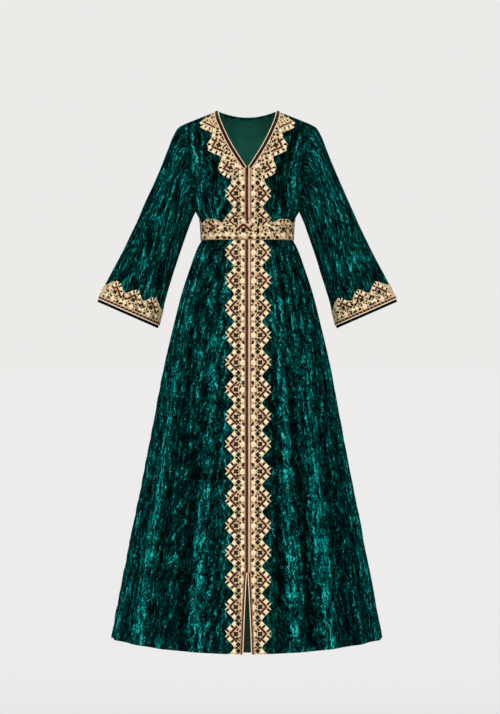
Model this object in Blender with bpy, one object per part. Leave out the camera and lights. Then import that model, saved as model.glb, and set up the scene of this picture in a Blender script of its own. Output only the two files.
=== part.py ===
"""A long velvet kaftan with scalloped embroidered bands, filled out as if worn.

Sizes are in millimetres until a mesh is made. +Z is up, the front faces -Y, and the origin is the middle
of the shoulder line, where the wearer's shoulders hold the garment. Every piece is a thin wall: a grid of
points on one cloth surface, with a second grid moved along the surface's normal for the other face.
"""

import bpy
import numpy as np

MM = 0.001
SEAM = 0.15  # half of the gap between two panels that are sewn together
VELVET = 1.6  # thickness of the velvet with its pile
BAND = 1.2  # thickness of an embroidered band
BAND_LIFT = 0.8  # from the panel's surface to the band's underside
WAIST_LIFT = 1.6  # the waistband spans the gathers, so it lies further out

# Neck and shoulders
NECK_HALF = 81.0
NECK_BACK_DROP = 19.0
NECK_BACK_DEPTH = 46.0
V_DEPTH = 157.0
SHOULDER_X = 174.0
SHOULDER_Z = -36.0
SHOULDER_ROUND_FRONT = 85.0
SHOULDER_ROUND_BACK = 75.0

# Armholes
UNDERARM_X = 145.0
UNDERARM_Z = -283.0
ARMHOLE_HALF_DEPTH = 62.0

# Waist, skirt and slit
WAIST_SEAM_Z = -340.0
BAND_BOTTOM_Z = -362.0
BAND_VALLEY_Z = -314.0
BAND_PEAK_Z = -303.0
HEM_SIDE_Z = -1473.0
HEM_FRONT_Z = -1503.0
HEM_BACK_Z = -1518.0
SLIT_TOP_Z = -1294.0
SLIT_HALF_AT_HEM = 11.0

# Depth of the bodice at its middle, front and back
BODICE_ROWS = [
    {"z": -345, "front": 100.5, "back": 92},
    {"z": -314, "front": 104, "back": 96},
    {"z": -283, "front": 111, "back": 104},
    {"z": -220, "front": 116, "back": 107},
    {"z": -157, "front": 106, "back": 105},
    {"z": -100, "front": 92, "back": 98},
    {"z": -36, "front": 78, "back": 84},
    {"z": 0, "front": 70, "back": 74},
]

# The bodice's side seam, from the waist to the underarm
SIDE_ROWS = [
    {"z": -345, "half_width": 126},
    {"z": -318, "half_width": 129},
    {"z": -302, "half_width": 135},
    {"z": -283, "half_width": 145},
]

SKIRT_ROWS = [
    {"z": -340, "half_width": 126, "front": 100.5, "back": 92},
    {"z": -362, "half_width": 127.5, "front": 102, "back": 94},
    {"z": -374, "half_width": 133, "front": 107, "back": 98},
    {"z": -398, "half_width": 143, "front": 115, "back": 107},
    {"z": -437, "half_width": 157, "front": 127, "back": 119},
    {"z": -504, "half_width": 180, "front": 145, "back": 138},
    {"z": -588, "half_width": 203, "front": 163, "back": 157},
    {"z": -700, "half_width": 229, "front": 182, "back": 177},
    {"z": -860, "half_width": 259, "front": 204, "back": 200},
    {"z": -1060, "half_width": 297, "front": 228, "back": 225},
    {"z": -1260, "half_width": 336, "front": 252, "back": 246},
    {"z": -1473, "half_width": 377, "front": 276, "back": 266},
]

# Long folds of the skirt. angle: degrees from the centre front, positive to +X. width: degrees.
# height: how far the crest stands out at the hem. start: where it begins, as a share of the length.
SKIRT_FOLDS = [
    {"angle": 22, "width": 5.5, "height": 10, "start": 0.05},
    {"angle": 37, "width": 6.0, "height": 14, "start": 0.10},
    {"angle": 56, "width": 5.0, "height": 11, "start": 0.02},
    {"angle": 75, "width": 6.0, "height": 9, "start": 0.20},
    {"angle": 103, "width": 7.0, "height": 13, "start": 0.08},
    {"angle": 126, "width": 6.0, "height": 15, "start": 0.04},
    {"angle": 147, "width": 6.5, "height": 12, "start": 0.15},
    {"angle": 169, "width": 6.0, "height": 14, "start": 0.06},
    {"angle": -22, "width": 5.0, "height": 9, "start": 0.12},
    {"angle": -38, "width": 6.0, "height": 14, "start": 0.04},
    {"angle": -54, "width": 5.5, "height": 12, "start": 0.08},
    {"angle": -75, "width": 6.0, "height": 9, "start": 0.16},
    {"angle": -100, "width": 7.0, "height": 12, "start": 0.10},
    {"angle": -122, "width": 6.0, "height": 14, "start": 0.05},
    {"angle": -145, "width": 7.0, "height": 13, "start": 0.12},
    {"angle": -168, "width": 5.5, "height": 12, "start": 0.03},
]
FOLD_SINK = 5.0  # the cloth between the folds lies this far inside the plain skirt at the hem
GATHERS = 36  # round the whole waist
GATHER_HEIGHT = 2.6
GATHER_END = 0.36  # share of the skirt's length where the gathers have fallen out
FLAT_FRONT = 67.0  # the cloth under the front bands stays flat this far from their edge
FLAT_BLEND = 24.0

# Sleeve, from the armhole to the cuff: its upper (outer) and lower (inner) outline and its half-depth
SLEEVE_ROWS = [
    {"t": 0.00, "outer_x": 174, "outer_z": -36, "inner_x": 145, "inner_z": -283, "half_depth": 62},
    {"t": 0.04, "outer_x": 192, "outer_z": -46, "inner_x": 149, "inner_z": -292, "half_depth": 67},
    {"t": 0.09, "outer_x": 205, "outer_z": -66, "inner_x": 155, "inner_z": -305, "half_depth": 70},
    {"t": 0.18, "outer_x": 222, "outer_z": -108, "inner_x": 165, "inner_z": -330, "half_depth": 72},
    {"t": 0.31, "outer_x": 247, "outer_z": -170, "inner_x": 180, "inner_z": -373, "half_depth": 71},
    {"t": 0.46, "outer_x": 281, "outer_z": -247, "inner_x": 197, "inner_z": -424, "half_depth": 68},
    {"t": 0.63, "outer_x": 320, "outer_z": -335, "inner_x": 214, "inner_z": -478, "half_depth": 65},
    {"t": 0.77, "outer_x": 355, "outer_z": -405, "inner_x": 229, "inner_z": -530, "half_depth": 63},
    {"t": 0.90, "outer_x": 392, "outer_z": -475, "inner_x": 241, "inner_z": -575, "half_depth": 61},
    {"t": 1.00, "outer_x": 417, "outer_z": -529, "inner_x": 249, "inner_z": -604, "half_depth": 60},
]

# Folds along a sleeve. angle: degrees round it from its upper edge, 90 at the front. span: where it runs.
SLEEVE_FOLDS = [
    {"angle": 52, "width": 13, "height": 4.0, "middle": 0.40, "span": 0.34},
    {"angle": 104, "width": 12, "height": 4.5, "middle": 0.52, "span": 0.40},
    {"angle": 146, "width": 12, "height": 4.0, "middle": 0.26, "span": 0.22},
    {"angle": 232, "width": 13, "height": 4.5, "middle": 0.45, "span": 0.38},
    {"angle": 288, "width": 12, "height": 4.0, "middle": 0.55, "span": 0.36},
]

# Half of one scallop of a straight band: distance along it from the tip, and how far its edge stands out
PITCH = 75.3
SCALLOP = [
    {"along": 0.0, "out": 56.5},
    {"along": 8.0, "out": 63.7},
    {"along": 24.0, "out": 49.5},
    {"along": 37.65, "out": 39.5},
]
FIRST_SKIRT_TIP_Z = -397.5

# Corners of the neck band's scalloped edge, measured along the neck edge from the shoulder point down
NECK_CORNERS = [
    {"along": 0.0, "out": 39.0},
    {"along": 3.0, "out": 41.0},
    {"along": 7.0, "out": 60.0},
    {"along": 13.0, "out": 62.5},
    {"along": 20.5, "out": 67.0},
    {"along": 35.0, "out": 56.3},
    {"along": 51.0, "out": 44.4},
    {"along": 62.0, "out": 53.5},
    {"along": 71.5, "out": 72.0},
    {"along": 88.0, "out": 77.5},
    {"along": 105.0, "out": 64.5},
    {"along": 121.5, "out": 51.8},
    {"along": 134.0, "out": 62.0},
    {"along": 152.5, "out": 76.0},
    {"along": 170.0, "out": 77.0},
    {"along": 187.0, "out": 78.0},
    {"along": 206.0, "out": 62.0},
    {"along": 215.0, "out": 44.0},
    {"along": 229.5, "out": 49.5},
    {"along": 245.5, "out": 64.0},
    {"along": 261.5, "out": 64.0},
    {"along": 277.5, "out": 49.5},
    {"along": 291.0, "out": 40.0},
    {"along": 304.5, "out": 49.5},
    {"along": 320.5, "out": 64.0},
    {"along": 336.5, "out": 64.0},
]
NECK_TURN = (128.0, 214.0)  # along the edge, where the band turns from the V to the closure

WAIST_PEAKS = [48, 85, 122, 158, 202, 238, 275, 312]  # degrees round the waist
WAIST_FRONT = 29.0  # to this many degrees either side, the band stands full height under the neck bands
CUFF_SCALLOPS = 8
CUFF_HEIGHT = 73.0
CUFF_VALLEY = 51.5
CUFF_EDGE = 3.5  # of plain velvet below the cuff band


def along_table(rows, key, at, value):
    """Smooth (cubic) reading of one column of a table at the given places."""
    xs = np.array([row[at] for row in rows], float)
    ys = np.array([row[key] for row in rows], float)
    if xs[0] > xs[-1]:
        xs, ys = xs[::-1], ys[::-1]
    slope = np.gradient(ys, xs)
    value = np.clip(np.asarray(value, float), xs[0], xs[-1])
    i = np.clip(np.searchsorted(xs, value) - 1, 0, len(xs) - 2)
    h = xs[i + 1] - xs[i]
    s = (value - xs[i]) / h
    low = (1 + 2 * s) * (1 - s) ** 2 * ys[i] + s * (1 - s) ** 2 * h * slope[i]
    high = s * s * (3 - 2 * s) * ys[i + 1] + s * s * (s - 1) * h * slope[i + 1]
    return low + high


def quarter_round(q):
    """0 at 0, rising like a quarter circle to 1 at 1, and 1 beyond."""
    q = np.clip(q, 0, 1)
    return np.sqrt(1 - (1 - q) ** 2)


def smooth_step(x):
    x = np.clip(x, 0, 1)
    return x * x * (3 - 2 * x)


# Bodice surface


def shoulder_line(x):
    """Height of the shoulder seam over x."""
    share = np.clip((np.abs(x) - NECK_HALF) / (SHOULDER_X - NECK_HALF), 0, 1)
    return SHOULDER_Z * share


def back_neck(x):
    """How far (0 to 1) x is inside the back neck's scoop."""
    return np.clip(1 - (np.abs(x) / NECK_HALF) ** 2, 0, 1)


def armhole_depth(z):
    """Distance of the armhole's edge from the plane of the shoulder seam."""
    middle = (SHOULDER_Z + UNDERARM_Z) / 2
    half = (SHOULDER_Z - UNDERARM_Z) / 2
    return ARMHOLE_HALF_DEPTH * np.sqrt(np.clip(1 - ((z - middle) / half) ** 2, 0, 1))


def bodice_half(z):
    """Half-width of the bodice at z: its side seam, and above that the armhole, which leans out."""
    lean = (SHOULDER_X - UNDERARM_X) / (SHOULDER_Z - UNDERARM_Z)
    seam = along_table(SIDE_ROWS, "half_width", "z", z)
    return np.where(z > UNDERARM_Z, UNDERARM_X + lean * (z - UNDERARM_Z), seam)


def bodice_surface(x, z, side):
    """y of the bodice's cloth at x and z. side is 'front' or 'back'."""
    half = bodice_half(z)
    turn = 1 - np.sqrt(np.clip(1 - (np.abs(x) / half) ** 2, 0, 1))
    full = along_table(BODICE_ROWS, side, "z", z)
    if side == "front":
        middle = full * quarter_round((shoulder_line(x) - z) / SHOULDER_ROUND_FRONT)
        sign = -1
    else:
        top = shoulder_line(x) - NECK_BACK_DROP * back_neck(x)
        start = NECK_BACK_DEPTH * back_neck(x)
        middle = start + (full - start) * quarter_round((top - z) / SHOULDER_ROUND_BACK)
        sign = 1
    return sign * (SEAM + (1 - turn) * middle + turn * armhole_depth(z))


def neck_edge_x(z):
    """Half of the front neck's width at z: a straight V, then the closure."""
    return np.maximum(NECK_HALF * (z + V_DEPTH) / V_DEPTH, SEAM)


# Skirt surface


def hem_z(angle):
    """Height of the hem at an angle from the centre front."""
    end = np.where(np.cos(angle) > 0, HEM_FRONT_Z, HEM_BACK_Z)
    return HEM_SIDE_Z + (end - HEM_SIDE_Z) * np.cos(angle) ** 2


def turned(angle, degrees):
    """Signed difference between an angle and one in degrees, within half a turn."""
    return (angle - np.radians(degrees) + np.pi) % (2 * np.pi) - np.pi


def skirt_folds(angle, down, flat):
    """How far the cloth stands out of the plain skirt, down being 0 at the waist seam and 1 at the hem."""
    height = np.zeros(np.broadcast(angle, down).shape)
    for fold in SKIRT_FOLDS:
        grow = smooth_step((down - fold["start"]) / 0.75)
        crest = np.exp(-((turned(angle, fold["angle"]) / np.radians(fold["width"])) ** 2))
        height += fold["height"] * grow * crest
    height -= FOLD_SINK * smooth_step(down / 0.75)
    swell = smooth_step((down - 0.012) / 0.03) * (1 - smooth_step((down - 0.03) / GATHER_END))
    height += GATHER_HEIGHT * swell * np.cos(GATHERS * angle)
    return height * flat


def skirt_surface(angle, down):
    """Point of the skirt's cloth, with its folds, as an array (..., 3)."""
    angle, down = np.broadcast_arrays(angle, down)
    z = WAIST_SEAM_Z + (hem_z(angle) - WAIST_SEAM_Z) * down
    level = WAIST_SEAM_Z + (HEM_SIDE_Z - WAIST_SEAM_Z) * down
    half = along_table(SKIRT_ROWS, "half_width", "z", level)
    front = along_table(SKIRT_ROWS, "front", "z", level)
    back = along_table(SKIRT_ROWS, "back", "z", level)
    depth = np.where(np.cos(angle) > 0, front, back)
    x, y = half * np.sin(angle), -depth * np.cos(angle)
    beyond = smooth_step((np.abs(x) - FLAT_FRONT - slit_x(z)) / FLAT_BLEND)
    flat = np.where(np.cos(angle) > 0, beyond, 1)
    out = skirt_folds(angle, down, flat)
    size = np.hypot(half * np.cos(angle), depth * np.sin(angle))
    x = x + out * depth * np.sin(angle) / size
    y = y - out * half * np.cos(angle) / size
    return np.stack([x, y, z], axis=-1)


def slit_x(z):
    """Half of the opening between the two skirt fronts."""
    share = np.clip((SLIT_TOP_Z - z) / (SLIT_TOP_Z - HEM_FRONT_Z), 0, 1)
    return SEAM + SLIT_HALF_AT_HEM * share


def front_angle(x, down):
    """Angle at which the skirt reaches x, at its front."""
    level = WAIST_SEAM_Z + (HEM_SIDE_Z - WAIST_SEAM_Z) * down
    return np.arcsin(x / along_table(SKIRT_ROWS, "half_width", "z", level))


# Sleeve surface


def sleeve_surface(side, angle, t):
    """Point of a sleeve; side is 1 for +X. angle 0 is its upper edge, a quarter turn its front."""
    angle, t = np.broadcast_arrays(angle, t)
    read = {key: along_table(SLEEVE_ROWS, key, "t", t) for key in SLEEVE_ROWS[0] if key != "t"}
    out = np.zeros(t.shape)
    for fold in SLEEVE_FOLDS:
        crest = np.exp(-((turned(angle, fold["angle"]) / np.radians(fold["width"])) ** 2))
        along = np.exp(-(((t - fold["middle"]) / fold["span"]) ** 2) * 2)
        out += fold["height"] * crest * along * smooth_step(t / 0.15) * smooth_step((0.78 - t) / 0.15)
    half_x = (read["outer_x"] - read["inner_x"]) / 2
    half_z = (read["outer_z"] - read["inner_z"]) / 2
    grow = 1 + out / np.hypot(half_x, half_z)
    x = (read["outer_x"] + read["inner_x"]) / 2 + half_x * np.cos(angle) * grow
    z = (read["outer_z"] + read["inner_z"]) / 2 + half_z * np.cos(angle) * grow
    y = -read["half_depth"] * np.sin(angle) * (1 + out / read["half_depth"])
    return np.stack([side * x, y, z], axis=-1)


# Walls


def normals_of(points, inside, loop):
    """Unit normals of a grid of points, turned away from the point or line of points inside."""
    if loop:
        wrapped = np.concatenate([points[:, -1:], points, points[:, :1]], axis=1)
        across = (wrapped[:, 2:] - wrapped[:, :-2]) / 2
    else:
        across = np.gradient(points, axis=1)
    normal = np.cross(across, np.gradient(points, axis=0))
    if np.sum(normal * (points - inside)) < 0:
        normal = -normal
    return normal


def level_at_seams(normal, points, planes):
    """Near a seam's plane, the cloth's normal lies in that plane, so that two panels meet face to face."""
    for axis in planes:
        on_seam = np.abs(points[..., axis]) < 2 * SEAM
        normal[on_seam, axis] = 0
    return normal / np.linalg.norm(normal, axis=-1, keepdims=True)


def wall(name, points, inside, material, low=-VELVET, high=0.0, loop=False, seams=()):
    """Closed solid between two copies of a grid, moved along its normals by low and by high."""
    normal = level_at_seams(normals_of(points, inside, loop), points, seams)
    rows, columns = points.shape[:2]
    faces_of_cloth = [(points + normal * shift).reshape(-1, 3) for shift in (high, low)]
    vertices = np.concatenate(faces_of_cloth)
    under = rows * columns
    faces = []
    steps = columns if loop else columns - 1
    for r in range(rows - 1):
        for c in range(steps):
            d = (c + 1) % columns
            a, b, e, f = r * columns + c, r * columns + d, (r + 1) * columns + d, (r + 1) * columns + c
            faces.append((a, b, e, f))
            faces.append((f + under, e + under, b + under, a + under))
    for r, turn in ((0, 1), (rows - 1, -1)):
        for c in range(steps):
            a, b = r * columns + c, r * columns + (c + 1) % columns
            faces.append((a, a + under, b + under, b)[::turn])
    if not loop:
        for c, turn in ((0, -1), (columns - 1, 1)):
            for r in range(rows - 1):
                a, b = r * columns + c, (r + 1) * columns + c
                faces.append((a, a + under, b + under, b)[::turn])
    mesh = bpy.data.meshes.new(name)
    mesh.from_pydata((vertices * MM).tolist(), [], faces)
    corner = vertices[faces[0][0]]
    facing = np.cross(vertices[faces[0][1]] - corner, vertices[faces[0][3]] - corner)
    if np.dot(facing, normal[0, 0]) < 0:
        mesh.flip_normals()
    mesh.shade_smooth()
    mesh.set_sharp_from_angle(angle=np.radians(50))
    mesh.materials.append(material)
    piece = bpy.data.objects.new(name, mesh)
    bpy.context.scene.collection.objects.link(piece)
    return piece


def cloth(name, colour, roughness):
    material = bpy.data.materials.new(name)
    material.use_nodes = True
    shader = material.node_tree.nodes["Principled BSDF"]
    shader.inputs["Base Color"].default_value = (*colour, 1)
    shader.inputs["Roughness"].default_value = roughness
    shader.inputs["Metallic"].default_value = 0
    return material


# Pieces


def bodice_rows(top, count_low, count_high):
    """Heights from the waist seam up to the given top, closer where the armhole turns."""
    low = np.linspace(0, 1, count_low, endpoint=False)
    turn = (1 - np.cos(np.linspace(0, np.pi, count_high))) / 2
    start = WAIST_SEAM_Z + 2 * SEAM
    under = start + (UNDERARM_Z - start) * low
    over = UNDERARM_Z + (top - UNDERARM_Z) * turn
    return np.concatenate([under, over])


def bodice_front(side, material):
    """One front panel: from the neck edge and closure to the armhole and side seam."""
    inner_z = bodice_rows(0.0, 3, 13)
    outer_z = bodice_rows(SHOULDER_Z, 3, 13)
    share = np.sin(np.linspace(0, np.pi / 2, 9))
    inner_x = neck_edge_x(inner_z)
    outer_x = bodice_half(outer_z)
    x = inner_x[:, None] + (outer_x - inner_x)[:, None] * share
    z = inner_z[:, None] + (outer_z - inner_z)[:, None] * share
    z[-1] = shoulder_line(x[-1])
    points = np.stack([side * x, bodice_surface(x, z, "front"), z], axis=-1)
    name = "bodice_front_right" if side > 0 else "bodice_front_left"
    return wall(name, points, (0, 0, -200), material, seams=(0, 1))


def bodice_back(material):
    """The back panel, from armhole to armhole, with the scooped neck."""
    outer_z = bodice_rows(SHOULDER_Z, 3, 13)
    outer_x = bodice_half(outer_z)
    share = np.sin(np.linspace(-np.pi / 2, np.pi / 2, 19))
    x = outer_x[:, None] * share
    top = shoulder_line(x[-1]) - NECK_BACK_DROP * back_neck(x[-1])
    start = outer_z[0]
    z = start + (outer_z - start)[:, None] * ((top - start) / (outer_z[-1] - start))
    points = np.stack([x, bodice_surface(x, z, "back"), z], axis=-1)
    return wall("bodice_back", points, (0, 0, -200), material, seams=(1,))


def sleeve(side, material):
    """One sleeve, a tube from the armhole to the open cuff."""
    t = np.array([0, 0.04, 0.09, 0.17, 0.29, 0.43, 0.57, 0.71, 0.85, 1.0])
    angle = np.linspace(0, 2 * np.pi, 26, endpoint=False)
    points = sleeve_surface(side, angle[None], t[:, None])
    points[0, :, 0] += side * 4 * SEAM
    inside = points.mean(axis=1, keepdims=True)
    name = "sleeve_right" if side > 0 else "sleeve_left"
    return wall(name, points, inside, material, loop=True)


SKIRT_DOWN = np.array([0, 0.02, 0.031, 0.052, 0.085, 0.14, 0.22, 0.33, 0.48, 0.65, 0.83, 1.0])


def skirt_front(side, material):
    """One skirt front, from the closure and slit to the side seam."""
    down = SKIRT_DOWN[:, None]
    z = WAIST_SEAM_Z + (HEM_FRONT_Z - WAIST_SEAM_Z) * down
    edge = front_angle(slit_x(z), down)
    share = np.concatenate([[0, 4, 8, 12], np.arange(15, 90.1, 2.5)]) / 90
    end = np.pi / 2 - SEAM / 100
    angle = edge + (end - edge) * share
    points = skirt_surface(side * angle, down)
    points[:, -1, 1] = -SEAM
    name = "skirt_front_right" if side > 0 else "skirt_front_left"
    return wall(name, points, (0, 0, -900), material, seams=(0, 1))


def skirt_back(material):
    """The skirt's back, from side seam to side seam."""
    down = SKIRT_DOWN[:, None]
    angle = np.linspace(np.pi / 2, 3 * np.pi / 2, 67)[None]
    points = skirt_surface(angle, down)
    points[:, (0, -1), 1] = SEAM
    return wall("skirt_back", points, (0, 0, -900), material, seams=(1,))


def scallop_out(along):
    """How far a straight band's edge stands out, at a distance along it from a tip."""
    from_tip = np.abs((np.asarray(along, float) + PITCH / 2) % PITCH - PITCH / 2)
    return np.interp(from_tip, [row["along"] for row in SCALLOP], [row["out"] for row in SCALLOP])


def scallop_stops(start, end):
    """Every corner of the scalloped edge between two distances from the first tip, and both ends."""
    corners = [row["along"] for row in SCALLOP]
    stops = [start, end]
    for turn in range(int(start // PITCH) - 1, int(end // PITCH) + 2):
        for corner in corners:
            stops += [turn * PITCH - corner, turn * PITCH + corner]
    return np.array(sorted({round(stop, 3) for stop in stops if start <= stop <= end}))


def front_trim(side, material):
    """The band down one skirt front, from under the waistband to the hem."""
    start = BAND_BOTTOM_Z - 6 * SEAM
    stops = scallop_stops(FIRST_SKIRT_TIP_Z - start, FIRST_SKIRT_TIP_Z - HEM_FRONT_Z)
    z = FIRST_SKIRT_TIP_Z - stops[:, None]
    down = (z - WAIST_SEAM_Z) / (HEM_FRONT_Z - WAIST_SEAM_Z)
    share = np.linspace(0, 1, 4)
    edge = slit_x(z)
    x = edge + scallop_out(stops)[:, None] * share
    points = skirt_surface(side * front_angle(x, down), down)
    name = "front_trim_right" if side > 0 else "front_trim_left"
    return wall(name, points, (0, 0, -900), material, BAND_LIFT, BAND_LIFT + BAND, seams=(0,))


def neck_edge(along):
    """Point and outward direction (x, z) of the neck edge, from the shoulder point down."""
    length = np.hypot(NECK_HALF, V_DEPTH)
    on_v = np.minimum(along / length, 1)
    x = np.maximum(NECK_HALF * (1 - on_v), SEAM)
    z = -V_DEPTH * on_v - np.maximum(along - length, 0)
    slope = np.arctan2(NECK_HALF, V_DEPTH)
    turn = slope * (1 - smooth_step((along - NECK_TURN[0]) / (NECK_TURN[1] - NECK_TURN[0])))
    return x, z, np.cos(turn), -np.sin(turn)


def neck_trim(side, material):
    """The band from the shoulder seam along the neck edge and down the bodice closure."""
    end = np.hypot(NECK_HALF, V_DEPTH) - V_DEPTH - BAND_PEAK_Z - 2 * SEAM
    along = [row["along"] for row in NECK_CORNERS]
    stops = np.array([place for place in along if place < end] + [end])
    width = np.interp(stops, along, [row["out"] for row in NECK_CORNERS])
    edge_x, edge_z, out_x, out_z = (part[:, None] for part in neck_edge(stops))
    share = np.linspace(0, 1, 6)
    x = edge_x + out_x * width[:, None] * share
    z = edge_z + out_z * width[:, None] * share
    z = np.minimum(z, shoulder_line(x))
    points = np.stack([side * x, bodice_surface(x, z, "front"), z], axis=-1)
    name = "neck_trim_right" if side > 0 else "neck_trim_left"
    return wall(name, points, (0, 0, -200), material, BAND_LIFT, BAND_LIFT + BAND, seams=(0, 1))


def waist_top(angle):
    """Height of the waistband's scalloped upper edge."""
    gap = np.min([np.abs(turned(angle, peak)) for peak in WAIST_PEAKS], axis=0)
    peak = np.interp(np.degrees(gap), (0, 4, 14, 18), (0.86, 1, 0.25, 0))
    front = np.interp(np.degrees(np.abs(turned(angle, 0))), (WAIST_FRONT, WAIST_FRONT + 4), (1, 0))
    share = np.maximum(peak, front)
    return BAND_VALLEY_Z + (BAND_PEAK_Z - BAND_VALLEY_Z) * share


def waistband(material):
    """The embroidered band all round the waist."""
    angle = np.radians(np.arange(0, 360, 4.5))
    top = waist_top(angle)
    z = BAND_BOTTOM_Z + (top - BAND_BOTTOM_Z) * np.linspace(0, 1, 3)[:, None]
    depth = np.where(np.cos(angle) > 0, 102.0, 94.0)
    lean = (z - BAND_BOTTOM_Z) / (BAND_PEAK_Z - BAND_BOTTOM_Z)
    x = (127.5 + 7 * lean**2) * np.sin(angle)
    y = -(depth + 5.5 * lean**2) * np.cos(angle)
    points = np.stack([x, y, z], axis=-1)
    return wall("waistband", points, (0, 0, -330), material, WAIST_LIFT, WAIST_LIFT + BAND, loop=True)


def cuff_trim(side, material):
    """The band round one cuff, scalloped along its upper edge."""
    steps = CUFF_SCALLOPS * 6
    angle = np.linspace(0, 2 * np.pi, steps, endpoint=False)
    around = sleeve_surface(side, angle, np.full(steps, 1.0))
    gone = np.concatenate([[0], np.cumsum(np.linalg.norm(np.diff(around, axis=0), axis=1))])
    whole = gone[-1] + np.linalg.norm(around[0] - around[-1])
    front = np.interp(np.pi / 2, angle, gone)
    places = (front + whole * np.arange(steps) / steps) % whole
    angle = np.interp(places, np.append(gone, whole), np.append(angle, 2 * np.pi))
    share = np.interp(np.arange(steps) % 6, (0, 1, 2, 3, 4, 5, 6), (0.9, 1, 0.5, 0, 0.5, 1, 0.9))
    height = CUFF_VALLEY + (CUFF_HEIGHT - CUFF_VALLEY) * share
    rise = np.array([0.0, 0.5, 1.0])[:, None]
    cuff, above = (sleeve_surface(side, angle, np.full(steps, place)) for place in (1.0, 0.88))
    rate = np.linalg.norm(cuff - above, axis=1) / 0.12
    t = 1 - (CUFF_EDGE + (height - CUFF_EDGE) * rise) / rate
    points = sleeve_surface(side, np.broadcast_to(angle, t.shape), t)
    inside = points.mean(axis=1, keepdims=True)
    name = "cuff_trim_right" if side > 0 else "cuff_trim_left"
    return wall(name, points, inside, material, BAND_LIFT, BAND_LIFT + BAND, loop=True)


def main():
    for thing in list(bpy.data.objects):
        bpy.data.objects.remove(thing, do_unlink=True)
    velvet = cloth("green_crushed_velvet", (0.0, 0.045, 0.042), 0.55)
    embroidery = cloth("cream_embroidered_band", (0.78, 0.62, 0.40), 0.6)
    bodice_back(velvet)
    skirt_back(velvet)
    waistband(embroidery)
    for side in (1, -1):
        bodice_front(side, velvet)
        sleeve(side, velvet)
        skirt_front(side, velvet)
        front_trim(side, embroidery)
        neck_trim(side, embroidery)
        cuff_trim(side, embroidery)


main()
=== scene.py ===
# %% [markdown]
# # A long velvet kaftan with embroidered bands
# The garment is filled out as if someone wore it, so it is a set of thin cloth shells round an empty
# space. The frame holds plain walls of the right size; this lesson lays the velvet, the embroidery and
# the cords over them. Everything below works in millimetres, and turns to metres when a mesh is made.

# %% Load the frame
import bpy
import collections
import math
import numpy as np
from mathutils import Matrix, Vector, noise


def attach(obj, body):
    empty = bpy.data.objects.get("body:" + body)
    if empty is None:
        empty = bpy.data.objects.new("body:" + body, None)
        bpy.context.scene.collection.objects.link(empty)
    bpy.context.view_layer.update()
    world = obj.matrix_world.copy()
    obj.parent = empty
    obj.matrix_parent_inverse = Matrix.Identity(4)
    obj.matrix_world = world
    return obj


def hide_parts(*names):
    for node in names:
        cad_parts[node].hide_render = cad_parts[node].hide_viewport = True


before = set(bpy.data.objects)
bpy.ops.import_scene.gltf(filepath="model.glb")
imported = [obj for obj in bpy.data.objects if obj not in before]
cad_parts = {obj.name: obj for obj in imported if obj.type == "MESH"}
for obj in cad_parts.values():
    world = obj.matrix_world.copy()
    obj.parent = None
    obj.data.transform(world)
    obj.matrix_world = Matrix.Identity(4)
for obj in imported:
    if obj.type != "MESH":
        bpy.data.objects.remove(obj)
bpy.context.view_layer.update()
MM = 0.001
print("nodes in the frame:", len(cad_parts))

# %% [markdown]
# ## Small helpers
# Sizes are kept in small text tables, as on a maker's pattern sheet. Paint charts give colours as sRGB
# hex values, but a renderer adds up light, so each hex value is turned to linear once, here. A material
# is a handful of nodes, and one function adds a node of any kind with its settings and its links, so that
# each material below reads as a list of what feeds what.


# %% Tables, colours and nodes
def listed(text):
    """Rows of a text table, parted by commas or line ends, with its numbers read as numbers."""
    lines = [line.split() for line in text.replace(",", "\n").splitlines() if line.strip()]
    return [[word if word[0].isalpha() else float(word) for word in line] for line in lines]


def table(text):
    """A text table as dictionaries; its first row names the columns."""
    names, *body = listed(text)
    return [dict(zip(names, row)) for row in body]


def linear(hex_value):
    """An sRGB hex colour as linear red, green, blue and alpha."""
    parts = [int(hex_value[i : i + 2], 16) / 255 for i in (1, 3, 5)]
    low = [p / 12.92 if p <= 0.04045 else ((p + 0.055) / 1.055) ** 2.4 for p in parts]
    return (*low, 1.0)


def feed(tree, node, **links):
    """Links or values for a node's inputs, by number (i0, i1) or by name with _ for a space."""
    for key, value in links.items():
        socket = node.inputs[int(key[1:]) if key[1:].isdigit() else key.replace("_", " ")]
        if isinstance(value, bpy.types.NodeSocket):
            tree.links.new(value, socket)
        else:
            socket.default_value = value
    return node


def add(tree, kind, settings=None, **links):
    """A node of the given kind, with settings on the node, and links or values for its inputs."""
    node = tree.nodes.new("ShaderNode" + kind)
    for key, value in (settings or {}).items():
        setattr(node, key, value)
    return feed(tree, node, **links)


def blank(name):
    """An empty material with a Principled shader, as (material, tree, shader)."""
    material = bpy.data.materials.new(name)
    material.use_nodes = True
    tree = material.node_tree
    return material, tree, tree.nodes["Principled BSDF"]


def scaled(tree, value, factor, plus=0.0):
    """A value times a factor, plus another value; each is a number or a socket."""
    return add(tree, "Math", {"operation": "MULTIPLY_ADD"}, i0=value, i1=factor, i2=plus).outputs[0]


def ramp(tree, factor, *stops):
    """A colour ramp with (position, hex colour) stops."""
    node = add(tree, "ValToRGB", i0=factor)
    marks = node.color_ramp.elements
    while len(marks) < len(stops):
        marks.new(0.5)
    for mark, (place, colour) in zip(marks, stops):
        mark.position = place
        mark.color = linear(colour)
    return node


print("emerald #004744 in linear light:", [round(value, 4) for value in linear("#004744")])

# %% [markdown]
# ## The cut of the garment
# A kaftan like this has two fronts and a back, set-in sleeves that widen to the cuff, and a long skirt
# that is gathered into the waist. Its shape is written as short tables, a row for each level, and a
# smooth curve is read through each column. The skirt is an oval at every level, the bodice a rounded
# sheet over the chest and shoulders, and a sleeve a leaning tube.

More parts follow.
